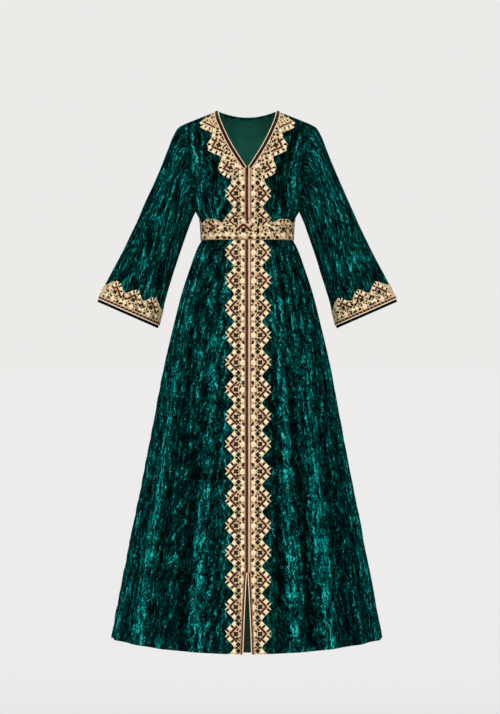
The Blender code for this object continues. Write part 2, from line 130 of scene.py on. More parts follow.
# %% Sizes
SEAM = 0.15  # half the hair's breadth that is left at a seam
NECK_HALF = 81.0
NECK_BACK_DROP = 16.4  # how far the back neck is scooped
NECK_BACK_DEPTH = 46.0  # how far it stands behind the shoulder line
V_DEPTH = 157.0
SHOULDER_X, SHOULDER_Z = 174.0, -36.0
SHOULDER_ROUND = {"front": 85.0, "back": 75.0}  # the height over which the cloth rounds over the shoulder
UNDERARM_X, UNDERARM_Z = 145.0, -283.0
ARMHOLE_HALF_DEPTH = 62.0
WAIST_Z = -340.0
BAND_BOTTOM_Z, BAND_VALLEY_Z, BAND_PEAK_Z = -362.0, -314.0, -303.0
HEM_SIDE_Z, HEM_FRONT_Z, HEM_BACK_Z = -1476.0, -1507.5, -1530.0
SLIT_TOP_Z, SLIT_HALF = -1280.0, 11.0

BODICE_ROWS = table("""
    z     front  back
    -345  100.5  92
    -314  104    96
    -283  111    104
    -220  116    107
    -157  106    105
    -100  92     98
    -36   78     84
    0     70     74
""")
SIDE_ROWS = table("""
    z     half_width
    -345  126
    -318  127.6
    -302  134.4
    -283  145
""")
OPENING_ROWS = table("""
    z half_width
    0 81, -20 77, -42 68.7, -76 53, -98 41.3, -120 28, -143 13.4, -163 0.15
""")
SKIRT_ROWS = table("""
    z      half_width  front  back
    -340   126         100.5  92
    -362   127.5       102    94
    -374   133         107    98
    -398   143         115    107
    -437   157         127    119
    -504   180         145    138
    -588   203         163    157
    -700   231         182    177
    -860   261.5       204    200
    -1060  299         228    225
    -1260  337.5       252    246
    -1473  379         276    266
""")
SLEEVE_ROWS = table("""
    t     outer_x  outer_z  inner_x  inner_z  half_depth
    0     174      -36      145      -283     62
    0.04  192      -46      149      -292     67
    0.09  205      -66      155      -305     70
    0.18  222      -108     165      -330     72
    0.31  247      -170     180      -373     71
    0.46  281      -247     197      -424     68
    0.63  320      -335     214      -478     65
    0.77  355      -405     229      -530     63
    0.9   392      -475     241      -575     61
    1     420      -534     250      -608.5   60
""")

# %% [markdown]
# ## Folds
# Velvet is heavy and falls in long, soft, uneven folds from the gathers at the waist. Each big fold is a
# row: where its crest runs, how wide it is, how far it stands out at the hem and where it begins. Two
# finer families lie over them: the pulled gathers under the waistband, and shallow creases that run in
# and out along the cloth. The sleeves and the bodice have a few folds of their own.

# %% Fold tables
SKIRT_FOLDS = table("""
    angle  width  height  start
    22     5.5    10      0.05
    37     6      14      0.1
    56     5      11      0.02
    75     6      9       0.2
    103    7      13      0.08
    126    6      15      0.04
    147    6.5    12      0.15
    169    6      14      0.06
    -22    5      9       0.12
    -38    6      14      0.04
    -54    5.5    12      0.08
    -75    6      9       0.16
    -100   7      12      0.1
    -122   6      14      0.05
    -145   7      13      0.12
    -168   5.5    12      0.03
""")
FOLD_SINK = 5.0  # the cloth between the folds lies this far in at the hem
GATHERS = 36  # round the whole waist
GATHER_HEIGHT = 2.6
GATHER_END = 0.36  # the share of the skirt's length over which they open out
FLAT_FRONT, FLAT_BLEND = 67.0, 24.0  # how far out the bands hold the cloth flat, and how soon the folds follow

# x_low and x_high: where a bodice fold's crest runs above the waistband and at the chest
BODICE_FOLDS = table("""
    side   x_low  x_high  width  height
    front  88     112     6      2.6
    front  104    132     5      3
    front  116    150     4      2.6
    front  -84    -108    5      2.4
    front  -99    -126    6      3.2
    front  -114   -149    4      2.8
    back   22     30      8      2.6
    back   58     78      7      3.4
    back   92     122     7      3.2
    back   -30    -42     7      3
    back   -66    -90     8      3.4
    back   -100   -132    6      2.8
""")
SLEEVE_FOLDS = table("""
    angle  width  height  middle  span
    52     13     4       0.4     0.34
    104    12     4.5     0.52    0.4
    146    12     4       0.26    0.22
    232    13     4.5     0.45    0.38
    288    12     4       0.55    0.36
""")

print("folds on skirt, bodice and sleeve:", len(SKIRT_FOLDS), len(BODICE_FOLDS), len(SLEEVE_FOLDS))

# %% [markdown]
# ## Reading the tables
# Cloth bends smoothly, so a column is read as a smooth curve through its rows. The edge of a cut-out
# ribbon has real corners, so there the reading is straight from row to row. Creases and the lie of the
# pile are uneven, and come from smooth noise that is drawn out along the cloth.


# %% Reading
CREASE_SIZES = (16, 150), (7, 60)  # width and length of the large and the small creases, mm


def along_table(rows, key, at, value):
    """Smooth (cubic) reading of one column of a table at the given places."""
    xs = np.array([row[at] for row in rows], float)
    ys = np.array([row[key] for row in rows], float)
    if xs[0] > xs[-1]:
        xs, ys = xs[::-1], ys[::-1]
    slope = np.gradient(ys, xs)
    value = np.clip(np.asarray(value, float), xs[0], xs[-1])
    i = np.clip(np.searchsorted(xs, value) - 1, 0, len(xs) - 2)
    h = xs[i + 1] - xs[i]
    s = (value - xs[i]) / h
    low = (1 + 2 * s) * (1 - s) ** 2 * ys[i] + s * (1 - s) ** 2 * h * slope[i]
    high = s * s * (3 - 2 * s) * ys[i + 1] + s * s * (s - 1) * h * slope[i + 1]
    return low + high


def straight(rows, key, at, value):
    """Straight-line reading of one column of a table at the given places."""
    return np.interp(value, [row[at] for row in rows], [row[key] for row in rows])


def quarter_round(q):
    """A quarter of a circle, from 0 up to 1."""
    q = np.clip(q, 0, 1)
    return np.sqrt(1 - (1 - q) ** 2)


def smooth_step(x):
    """A soft step from 0 to 1."""
    x = np.clip(x, 0, 1)
    return x * x * (3 - 2 * x)


def turned(angle, degrees):
    """Signed difference between an angle and one in degrees, within half a turn."""
    return (angle - np.radians(degrees) + np.pi) % (2 * np.pi) - np.pi


def ripple(across, along, seed, finest=1.0):
    """Uneven creases that run along the cloth: smooth noise, stretched, about -1 to 1."""
    across, along = np.broadcast_arrays(across, along)
    (wide, long), (narrow, short) = CREASE_SIZES
    flat = [
        noise.noise(Vector((a / (wide * finest), b / (long * finest), seed)))
        + 0.5 * noise.noise(Vector((a / (narrow * finest), b / (short * finest), seed + 9.0)))
        for a, b in zip(across.ravel().tolist(), along.ravel().tolist())
    ]
    return np.array(flat).reshape(across.shape)


# %% [markdown]
# ## Surfaces
# Each function below answers one question: where is the cloth at this place? The panels, the bands on
# them, the embroidery on the bands and the cords all ask the same functions, and so they always fit.


# %% Bodice
def shoulder_line(x):
    """Height of the shoulder seam."""
    return SHOULDER_Z * np.clip((np.abs(x) - NECK_HALF) / (SHOULDER_X - NECK_HALF), 0, 1)


def back_neck(x):
    """How far into the scoop of the back neck a place is, 1 in its middle."""
    return np.clip(1 - (np.abs(x) / NECK_HALF) ** 2, 0, 1)


def armhole_depth(z):
    """Half the front-to-back opening of the armhole at a height."""
    middle, half = (SHOULDER_Z + UNDERARM_Z) / 2, (SHOULDER_Z - UNDERARM_Z) / 2
    return ARMHOLE_HALF_DEPTH * np.sqrt(np.clip(1 - ((z - middle) / half) ** 2, 0, 1))


def bodice_half(z):
    """Half the bodice's width: the armhole's lean, then the side seam."""
    lean = (SHOULDER_X - UNDERARM_X) / (SHOULDER_Z - UNDERARM_Z)
    seam = along_table(SIDE_ROWS, "half_width", "z", z)
    return np.where(z > UNDERARM_Z, UNDERARM_X + lean * (z - UNDERARM_Z), seam)


def bodice_folds(x, z, side):
    """How far the bodice's folds stand out; they die away at the seams, the bands and the waist."""
    rise = np.clip((z + 302) / 190, -0.2, 1.25)
    height = np.zeros(np.broadcast(x, z).shape)
    for fold in BODICE_FOLDS:
        if fold["side"] == side:
            crest = fold["x_low"] + (fold["x_high"] - fold["x_low"]) * rise
            spread = fold["width"] * (1 + 0.7 * rise)
            height += fold["height"] * np.exp(-(((x - crest) / spread) ** 2))
    seams = smooth_step((bodice_half(z) - np.abs(x)) / 14) * smooth_step((shoulder_line(x) - z) / 60)
    return height * seams * smooth_step((z - BAND_VALLEY_Z + 4) / 18)


def bodice_surface(x, z, side, folds=0.0):
    """Point of the bodice's cloth at x and z, as (..., 3)."""
    half = bodice_half(z)
    turn = 1 - np.sqrt(np.clip(1 - (np.abs(x) / half) ** 2, 0, 1))
    full = along_table(BODICE_ROWS, side, "z", z)
    top, start = shoulder_line(x), 0.0
    if side == "back":
        top = top - NECK_BACK_DROP * back_neck(x)
        start = NECK_BACK_DEPTH * back_neck(x)
    middle = start + (full - start) * quarter_round((top - z) / SHOULDER_ROUND[side])
    sign = -1 if side == "front" else 1
    y = sign * (SEAM + (1 - turn) * middle + turn * armhole_depth(z) + folds)
    return np.stack(np.broadcast_arrays(x, y, z), axis=-1)


def neck_edge_x(z):
    """Half the width of the neck opening, down to the tip of the V."""
    return np.maximum(along_table(OPENING_ROWS, "half_width", "z", z), SEAM)


# %% [markdown]
# ### Skirt surface
# At every level the skirt is an oval, whose front and back depths differ. The folds stand out square to
# it, and the hem dips in front and more behind, as it does when a flared skirt hangs from the waist.


# %% Skirt
def hem_z(angle):
    """Height of the hem round the skirt."""
    end = np.where(np.cos(angle) > 0, HEM_FRONT_Z, HEM_BACK_Z)
    return HEM_SIDE_Z + (end - HEM_SIDE_Z) * np.cos(angle) ** 2


def slit_x(z):
    """Half of the opening between the two skirt fronts."""
    return SEAM + SLIT_HALF * np.clip((SLIT_TOP_Z - z) / (SLIT_TOP_Z - HEM_FRONT_Z), 0, 1) ** 0.75


def skirt_folds(angle, down, flat):
    """How far the folds and gathers stand out, down being 0 at the waist seam and 1 at the hem."""
    height = np.zeros(np.broadcast(angle, down).shape)
    for fold in SKIRT_FOLDS:
        grow = smooth_step((down - fold["start"]) / 0.75)
        crest = np.exp(-((turned(angle, fold["angle"]) / np.radians(fold["width"])) ** 2))
        height += fold["height"] * grow * crest
    height -= FOLD_SINK * smooth_step(down / 0.75)
    swell = smooth_step((down - 0.012) / 0.03) * (1 - smooth_step((down - 0.03) / GATHER_END))
    height += GATHER_HEIGHT * swell * np.cos(GATHERS * angle)
    return height * flat


def skirt_half(down, key="half_width"):
    """Half the skirt's width, or its front or back depth, down being 0 at the waist and 1 at the hem."""
    return along_table(SKIRT_ROWS, key, "z", WAIST_Z + (HEM_SIDE_Z - WAIST_Z) * down)


def skirt_surface(angle, down, creases=0.0):
    """Point of the skirt's cloth, as (..., 3)."""
    angle, down = np.broadcast_arrays(angle, down)
    z = WAIST_Z + (hem_z(angle) - WAIST_Z) * down
    half = skirt_half(down)
    depth = np.where(np.cos(angle) > 0, skirt_half(down, "front"), skirt_half(down, "back"))
    x, y = half * np.sin(angle), -depth * np.cos(angle)
    beyond = smooth_step((np.abs(x) - FLAT_FRONT) / FLAT_BLEND)
    flat = np.where(np.cos(angle) > 0, beyond, 1)
    out = skirt_folds(angle, down, flat) + creases * flat
    size = np.hypot(half * np.cos(angle), depth * np.sin(angle))
    x = x + out * depth * np.sin(angle) / size
    y = y - out * half * np.cos(angle) / size
    return np.stack([x, y, z], axis=-1)


def front_angle(x, down):
    """The angle round the skirt at which its front reaches x."""
    return np.arcsin(x / skirt_half(down))


# %% [markdown]
# ### Sleeve surface
# A sleeve is a leaning oval tube from the armhole to the cuff: its outer edge is longer than its inner
# one, so the cuff slants. Its folds gather where the elbow would be and die away at both ends.


# %% Sleeve
def sleeve_surface(side, angle, t, creases=0.0):
    """Point of a sleeve; side is 1 for +X. angle 0 is its upper edge, a quarter turn its front."""
    angle, t = np.broadcast_arrays(angle, t)
    read = {key: along_table(SLEEVE_ROWS, key, "t", t) for key in SLEEVE_ROWS[0] if key != "t"}
    out = np.zeros(t.shape)
    for fold in SLEEVE_FOLDS:
        crest = np.exp(-((turned(angle, fold["angle"]) / np.radians(fold["width"])) ** 2))
        out += fold["height"] * crest * np.exp(-(((t - fold["middle"]) / fold["span"]) ** 2) * 2)
    out = (out + creases) * smooth_step(t / 0.15) * smooth_step((0.78 - t) / 0.15)
    half_x = (read["outer_x"] - read["inner_x"]) / 2
    half_z = (read["outer_z"] - read["inner_z"]) / 2
    grow = 1 + out / np.hypot(half_x, half_z)
    x = (read["outer_x"] + read["inner_x"]) / 2 + half_x * np.cos(angle) * grow
    z = (read["outer_z"] + read["inner_z"]) / 2 + half_z * np.cos(angle) * grow
    y = -read["half_depth"] * np.sin(angle) * (1 + out / read["half_depth"])
    return np.stack([side * x, y, z], axis=-1)


print("surfaces ready")
# %% [markdown]
# ## Cloth shells
# A panel is a grid of points on its surface, with a second grid a pile's depth inside it, closed round
# the rim. A panel that is only one sheet would show no edge at the hem and no wrong side. The grid also
# carries the cloth's own measure as its UV map, so the nap can run down the cloth and not along the
# room, and a value that says how far the pile is brushed up there. That value also carries painted
# highlights on the folds' crests and painted shade in their troughs. Each mesh is made outright
# from its points, since the shape is known at every place and needs no modifier.

# %% Panels
VELVET_THICK = 1.6
RIGHT_SIDE, WRONG_SIDE = 0, 1  # places in a panel's list of materials
ROLL_STEP = 730.0


def normals_of(points, inside, loop):
    """Unit normals of a grid of points, turned away from what is inside."""
    if loop:
        wrapped = np.concatenate([points[:, -1:], points, points[:, :1]], axis=1)
        across = (wrapped[:, 2:] - wrapped[:, :-2]) / 2
    else:
        across = np.gradient(points, axis=1)
    normal = np.cross(across, np.gradient(points, axis=0))
    if np.sum(normal * (points - inside)) < 0:
        normal = -normal
    return normal


def level_at_seams(normal, points, planes):
    """At a seam's plane the normal lies in that plane, so that two panels meet face to face."""
    for axis in planes:
        normal[np.abs(points[..., axis]) < 2 * SEAM, axis] = 0
    return normal / np.maximum(np.linalg.norm(normal, axis=-1, keepdims=True), 1e-9)


def lay_uv(mesh, uv):
    """Give each corner of a mesh its vertex's place on the cloth, in millimetres, as its UV map."""
    corners = np.empty(len(mesh.loops), np.int32)
    mesh.loops.foreach_get("vertex_index", corners)
    layer = mesh.uv_layers.new(name="cloth_mm")
    layer.data.foreach_set("uv", (uv[corners] * MM).astype(np.float32).ravel())


def smooth_mesh(mesh, sharp):
    """Smooth shading, but for the edges that bend more than so many degrees."""
    mesh.shade_smooth()
    mesh.set_sharp_from_angle(angle=math.radians(sharp))
    mesh.update()


def finish_piece(name, mesh, materials, body="root"):
    """Give a mesh its materials, put it in the scene and let it ride on its body."""
    for material in materials:
        mesh.materials.append(material)
    piece = bpy.data.objects.new(name, mesh)
    bpy.context.scene.collection.objects.link(piece)
    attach(piece, body)
    return piece


def measured(points, loop):
    """Distances across and down a grid, in millimetres, for its UV map."""
    across = np.linalg.norm(np.diff(points, axis=1), axis=-1)
    across = np.concatenate([np.zeros((len(points), 1)), np.cumsum(across, axis=1)], axis=1)
    if not loop:
        across = across - across[:, -1:] / 2
    down = np.linalg.norm(np.diff(points, axis=0), axis=-1)
    down = np.concatenate([np.zeros((1, points.shape[1])), np.cumsum(down, axis=0)], axis=0)
    return across, down


print("the velvet with its pile is", VELVET_THICK, "mm thick")

# %% [markdown]
# ### From a grid to a shell
# The faces come in the order right side, wrong side, rim, so that each can be given its own material.


# %% Shells
def shell_faces(rows, columns, loop):
    """Faces of two copies of a grid, closed round the rim: the upper ones, the lower ones and the rim."""
    count = rows * columns
    across = np.arange(columns if loop else columns - 1)
    r, c = np.meshgrid(np.arange(rows - 1), across, indexing="ij")
    r, c = r.ravel(), c.ravel()
    d = (c + 1) % columns
    upper = np.stack([r * columns + c, r * columns + d, (r + 1) * columns + d, (r + 1) * columns + c], axis=1)
    following, last = (across + 1) % columns, (rows - 1) * columns
    rims = [(across, following), (last + following, last + across)]
    if not loop:
        along = np.arange(rows - 1) * columns
        rims += [(along + columns, along), (along + columns - 1, along + 2 * columns - 1)]
    rim = np.concatenate([np.stack([a, a + count, b + count, b], axis=1) for a, b in rims])
    return upper, np.concatenate([upper, upper[:, ::-1] + count, rim])


def shell(
    name, points, inside, materials,
    low=-VELVET_THICK, high=0.0, loop=False, seams=(), nap_and_painted_light=None, turned_in=0,
):
    """A thin closed shell between two copies of a grid, moved along its normals by low and high."""
    rows, columns = points.shape[:2]
    normal = level_at_seams(normals_of(points, inside, loop), points, seams)
    vertices = np.concatenate([(points + normal * shift).reshape(-1, 3) for shift in (high, low)]) * MM
    upper, faces = shell_faces(rows, columns, loop)
    corner = vertices[upper[0, 0]]
    facing = np.cross(vertices[upper[0, 1]] - corner, vertices[upper[0, 3]] - corner)
    if np.dot(facing, normal[0, 0]) < 0:
        faces = faces[:, ::-1]
    mesh = bpy.data.meshes.new(name)
    mesh.from_pydata(vertices.tolist(), [], faces.tolist())
    across_mm, down_mm = measured(points, loop)
    # each panel is cut from another place of the roll, so that no two show the same patches
    uv = np.stack([across_mm + ROLL_STEP * len(bpy.data.meshes), down_mm], axis=-1).reshape(-1, 2)
    lay_uv(mesh, np.concatenate([uv, uv]))
    if nap_and_painted_light is not None:
        value = mesh.attributes.new("nap_and_painted_light", "FLOAT", "POINT")
        value.data.foreach_set("value", np.concatenate([nap_and_painted_light.ravel(), nap_and_painted_light.ravel()]).astype(np.float32))
    which = np.zeros(len(faces), np.int32)
    which[len(upper) : 2 * len(upper)] = min(WRONG_SIDE, len(materials) - 1)
    # along the top edge this many rows of the cloth are turned to the inside, right side out
    which[len(upper) : len(upper) + turned_in * (columns - 1)] = RIGHT_SIDE
    mesh.polygons.foreach_set("material_index", which)
    smooth_mesh(mesh, 50)
    print(f"{name}: {len(faces) * 2} triangles")
    return finish_piece(name, mesh, materials)


def sheet_area(points, loop):
    """Area of a grid in square metres."""
    if loop:
        points = np.concatenate([points, points[:, :1]], axis=1)
    a = np.cross(points[1:, :-1] - points[:-1, :-1], points[:-1, 1:] - points[:-1, :-1])
    b = np.cross(points[1:, :-1] - points[1:, 1:], points[:-1, 1:] - points[1:, 1:])
    return float((np.linalg.norm(a, axis=-1) + np.linalg.norm(b, axis=-1)).sum() / 2) * MM * MM


def relief(points, inside, loop):
    """How far each place stands out of its surroundings, in millimetres, crests positive."""
    normal = level_at_seams(normals_of(points, inside, loop), points, ())
    height = np.zeros(points.shape[:2])
    for reach in (3, 6, 10):
        pad = np.pad(points, ((0, 0), (reach, reach), (0, 0)), mode="wrap" if loop else "edge")
        mean = (pad[:, : -2 * reach] + pad[:, 2 * reach :]) / 2
        height += np.sum((points - mean) * normal, axis=-1)
    if not loop:
        fade = np.minimum(np.arange(points.shape[1]), np.arange(points.shape[1])[::-1]) / 10
        height *= np.clip(fade, 0, 1)
    return np.tanh(height / 5)


# %% [markdown]
# ## Crushed velvet
# The cloth is polyester velvet, woven with a cut pile and then crushed wet, so that the pile lies in
# small patches that lean different ways. A patch that leans to the light looks bright teal, one that leans
# away looks almost black, and the cloth between is a deep emerald; this sheen and shade are painted into
# the colour here. The patches have real sizes, about 3 mm wide and two to four times as long, and they
# lie in chains of about 10 by 50 mm. The value that each panel carries says where the pile is brushed
# up. It also paints a highlight along a fold's crest and shade where the cloth sinks in a trough.
# A dyed pile is rough, 0.5 to 0.7, with the 1.5 index of its fibre, and its tips catch light at a glancing
# angle, which is its sheen. Reflection from its surface as a whole is off, for a pile has no flat face.


# %% Velvet
FIBRE_IOR = 1.5


def velvet_material(name, patch, run):
    """Crushed velvet; patch and run: how many patches and chains of them to a metre, across and down."""
    material, tree, shader = blank(name)
    cloth = add(tree, "UVMap", {"uv_map": "cloth_mm"})
    bend = add(tree, "TexNoise", i0=cloth.outputs[0], Scale=55.0, Detail=2.0)
    offset = add(tree, "VectorMath", {"operation": "SUBTRACT"}, i0=bend.outputs["Color"], i1=(0.5, 0.5, 0.5))
    small = add(tree, "VectorMath", {"operation": "SCALE"}, i0=offset.outputs[0], Scale=0.02)
    bent = add(tree, "VectorMath", {"operation": "ADD"}, i0=cloth.outputs[0], i1=small.outputs[0])

    def stretched(across, down, detail=2.0, roughness=0.5):
        """Noise drawn out along the cloth, with so many spots to a metre across and down."""
        way = add(tree, "Mapping", i0=bent.outputs[0], Scale=(across, down, 1.0))
        spots = add(tree, "TexNoise", i0=way.outputs[0], Scale=1.0, Detail=detail, Roughness=roughness)
        return spots.outputs["Fac"]

    # patches of pile about 3 mm by 9 mm, and chains of patches that lean the same way, about 9 mm by 50 mm
    patches, chain = (stretched(*size, 3.0, 0.6) for size in (patch, run))
    # painted highlights: thin bright ridges where two patches meet, about 7 mm by 20 mm; they glint most in a
    # bright chain
    apart = scaled(tree, stretched(150.0, 40.0), 1.0, -0.5)
    apart = add(tree, "Math", {"operation": "ABSOLUTE"}, i0=apart)
    ridge = add(tree, "MapRange", {"interpolation_type": "SMOOTHSTEP"}, i0=apart.outputs[0],
                i1=0.0, i2=0.09, i3=1.0, i4=0.0)
    glint = add(tree, "MapRange", i0=chain, i1=0.4, i2=0.68, i3=0.02, i4=0.55)
    glint = scaled(tree, glint.outputs[0], ridge.outputs[0])
    # slow changes of tone, about 30 mm by 200 mm, and the lie of the pile that the panel carries, with its
    # painted highlights on fold crests and painted shade in troughs
    nap_and_painted_light = add(tree, "Attribute", {"attribute_name": "nap_and_painted_light"})
    zone_and_painted_light = scaled(tree, stretched(32.0, 5.0), 1.0, -0.5)
    zone_and_painted_light = scaled(tree, zone_and_painted_light, 1.0, nap_and_painted_light.outputs["Fac"])
    # painted light: brushed-up pile along the crests is drawn brighter and shows its patches more than pile
    # that lies flat
    gain = add(tree, "MapRange", i0=zone_and_painted_light, i1=-0.7, i2=0.9, i3=0.7, i4=1.3)
    detail = scaled(tree, chain, 1.5, scaled(tree, patches, 2.0, -1.75))
    tone = scaled(tree, detail, gain.outputs[0], scaled(tree, zone_and_painted_light, 0.21, glint))
    tone = scaled(tree, tone, 1.0, 0.2)
    # the ramp paints the pile's sheen and shade into the colour: near-black for painted shade, bright teal for
    # painted highlights, deep emerald between
    colour = ramp(tree, tone, (0.0, "#000403"), (0.25, "#001614"), (0.45, "#002f2d"),
                  (0.62, "#004744"), (0.8, "#067673"), (1.0, "#1fb0a9"))
    pile = add(tree, "TexNoise", i0=cloth.outputs[0], Scale=900.0, Detail=2.0)
    crush = scaled(tree, pile.outputs["Fac"], 0.3, tone)
    bump = add(tree, "Bump", Strength=0.5, Distance=0.0015, Height=crush)
    rough = add(tree, "MapRange", i0=tone, i1=0.2, i2=0.9, i3=0.72, i4=0.5)
    feed(tree, shader, Base_Color=colour.outputs[0], Roughness=rough.outputs[0], Normal=bump.outputs[0],
         IOR=FIBRE_IOR, Specular_IOR_Level=0.0, Specular_Tint=linear("#208a86"),
         Sheen_Weight=0.03, Sheen_Roughness=0.35, Sheen_Tint=linear("#1c9c96"))
    return material


# %% [markdown]
# The wrong side of a velvet has no pile: it is a plain tight weave in the same dye, smooth and matt. It
# shows inside the back neck and through the slit. Its threads lie 0.4 mm apart, too fine to show on
# the whole garment, so they are drawn 1.2 mm apart here.


# %% Wrong side
def backing_material(name, low, high):
    """The plain weave of the wrong side, between two shades."""
    material, tree, shader = blank(name)
    cloth = add(tree, "UVMap", {"uv_map": "cloth_mm"})
    cloudy = add(tree, "TexNoise", i0=cloth.outputs[0], Scale=22.0, Detail=3.0)
    colour = ramp(tree, cloudy.outputs["Fac"], (0.35, low), (0.65, high))
    turns = [add(tree, "TexWave", {"bands_direction": way}, i0=cloth.outputs[0], Scale=130.0) for way in "XY"]
    weave = scaled(tree, turns[0].outputs["Fac"], turns[1].outputs["Fac"])
    bump = add(tree, "Bump", Strength=0.15, Distance=0.0003, Height=weave)
    feed(tree, shader, Base_Color=colour.outputs[0], Normal=bump.outputs[0], Roughness=0.78, IOR=FIBRE_IOR,
         Sheen_Weight=0.1, Sheen_Roughness=0.5)
    return material


VELVET = [
    velvet_material("crushed_velvet_bodice", (360.0, 95.0), (120.0, 17.0)),
    # painted light: this backing, seen inside the back neck, is drawn lighter than the dye to make up for the
    # shade in there
    backing_material("velvet_backing_weave", "#026651", "#047560"),
]
# the inside of the skirt gets little light, so its backing is drawn darker
SKIRT_VELVET = [
    velvet_material("crushed_velvet_skirt", (300.0, 130.0), (100.0, 21.0)),
    backing_material("skirt_backing_weave", "#003324", "#00402e"),
]
print("cloth materials:", [material.name for material in VELVET + SKIRT_VELVET])

# %% [markdown]
# ## Bodice panels
# Each front is cut straight down the middle, where the two meet edge to edge, and up in a V to the
# shoulder. The back is one piece with a shallow curve at the neck. All three are made on the same
# surface, so the shoulder and side seams close. Shallow creases rise from the gathered waist. Painted
# highlights lie on their crests and painted shade lies in their troughs. The pile is also crushed in long
# uneven tracks, and the nap value carries these as well.


# %% Bodice
def bodice_grid(side, sign, rows, columns):
    """Points of a bodice panel: a front on the given side, or the whole back with sign 0."""
    down = np.linspace(0, 1, rows)[:, None]
    if side == "back":
        share = np.linspace(-1, 1, columns)[None, :]
        edge = share * bodice_half(SHOULDER_Z)
        top = shoulder_line(edge) - NECK_BACK_DROP * back_neck(edge)
        z = top + (WAIST_Z - top) * down
        x = share * bodice_half(z) * np.ones_like(z)
    else:
        share = np.linspace(0, 1, columns)[None, :]
        top = shoulder_line(np.interp(share, (0, 1), (NECK_HALF, SHOULDER_X)))
        z = top + (WAIST_Z - top) * down
        inner = neck_edge_x(z)
        x = sign * (inner + (bodice_half(z) - inner) * share)
    # creases die away at the side seam, the shoulder and the waistband
    clear = smooth_step((bodice_half(z) - np.abs(x)) / 16)
    clear = clear * smooth_step((shoulder_line(x) - z) / 40) * smooth_step((z - BAND_VALLEY_Z) / 14)
    folds = bodice_folds(x, z, side) + 1.1 * ripple(x, z, 3.0) * clear
    if side == "front":
        # under the stiff band the cloth is held flat, over more of its width at the chest than below it
        flat = np.interp(z, (-230, -190), (66, 84))
        folds = folds * smooth_step((np.abs(x) - neck_edge_x(z) - flat) / 16)
    return bodice_surface(x, z, side, folds)


PANELS = {}
for name, side, sign, rows, columns in (
    ("bodice_front_left", "front", -1, 100, 70),
    ("bodice_front_right", "front", 1, 100, 70),
    ("bodice_back", "back", 0, 100, 140),
):
    grid = bodice_grid(side, sign, rows, columns)
    inside = np.array([0.0, 0.0, -170.0])
    seams = (0, 1) if side == "front" else (1,)
    across, along = grid[..., 0], grid[..., 2]
    # painted light: the folds' crests are drawn lighter and their troughs darker, over a random lie of the
    # pile
    nap_and_painted_light = relief(grid, inside, False) + 0.6 * ripple(across, along, 50.0)
    nap_and_painted_light = nap_and_painted_light + 1.1 * ripple(1.5 * across, 0.25 * along, 51.0) - 0.36
    turned_in = 2 if side == "back" else 0
    if turned_in:
        # the edge of the back neck is turned in and stitched down, and its pile is drawn bright there, a
        # painted highlight
        nap_and_painted_light[: turned_in + 1] += 2.4
    piece = shell(name + "_velvet", grid, inside, VELVET, seams=seams, nap_and_painted_light=nap_and_painted_light, turned_in=turned_in)
    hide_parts(name)
    PANELS[name] = (piece, grid, False)

# %% [markdown]
# ## Skirt
# Two fronts and a back, gathered into the waistband. The fronts meet down the middle as far as the
# knee and part below it in a slit. The folds are the same ones as the plain walls', with the finer creases
# laid over them; near the front bands the cloth is held flat by the stiff embroidery.


# %% Skirt panels
def skirt_grid(sign, rows, columns):
    """Points of a skirt panel: a front on the given side, or the whole back with sign 0."""
    down = np.linspace(0, 1, rows)[:, None]
    if sign:
        z = WAIST_Z + (HEM_FRONT_Z - WAIST_Z) * down
        start = np.arcsin(np.clip(slit_x(z) / skirt_half(down), 0, 1))
        angle = sign * (start + (np.radians(90) - start) * np.linspace(0, 1, columns)[None, :])
    else:
        angle = np.linspace(np.radians(90), np.radians(270), columns)[None, :] + 0 * down
    # for the creases the cloth is measured roughly: across by a mean radius, and down by its length
    arc = angle * (135 + 190 * down)
    run = WAIST_Z + 1150 * down
    fine = 2.6 * ripple(arc, run, 5.0) + 1.2 * ripple(arc, run, 21.0, 0.6)
    creases = fine * smooth_step(down / 0.05) * smooth_step((1.02 - down) / 0.05)
    side = smooth_step(np.abs(np.cos(angle)) / 0.12)
    return skirt_surface(angle, down, creases * side)


# painted light along the skirt: streaks of painted highlight (a positive lift) and of painted shade (a
# negative one):
# the streak's place at the waist and at the hem and its width, as shares of the half width, and where down the
# skirt it begins and ends
PAINTED_STREAKS = table("""
    top    hem    width  lift   from  to
    -0.97  -0.95  0.03   0.3    0.1   1
    -0.86  -0.8   0.06   0.85   0     1
    -0.68  -0.6   0.1    -0.35  0.25  1
    -0.57  -0.5   0.045  0.5    0     0.35
    -0.48  -0.49  0.03   -0.4   0.3   1
    -0.4   -0.4   0.045  0.85   0.15  1
    -0.31  -0.28  0.03   0.3    0.55  1
    0.25   0.23   0.04   -0.35  0.2   1
    0.43   0.34   0.045  0.8    0     1
    0.52   0.46   0.035  -0.45  0.25  1
    0.6    0.66   0.05   0.5    0     0.3
    0.76   0.59   0.055  0.9    0.2   1
    0.88   0.78   0.075  -0.35  0.25  1
    0.97   0.93   0.035  0.45   0.1   1
""")


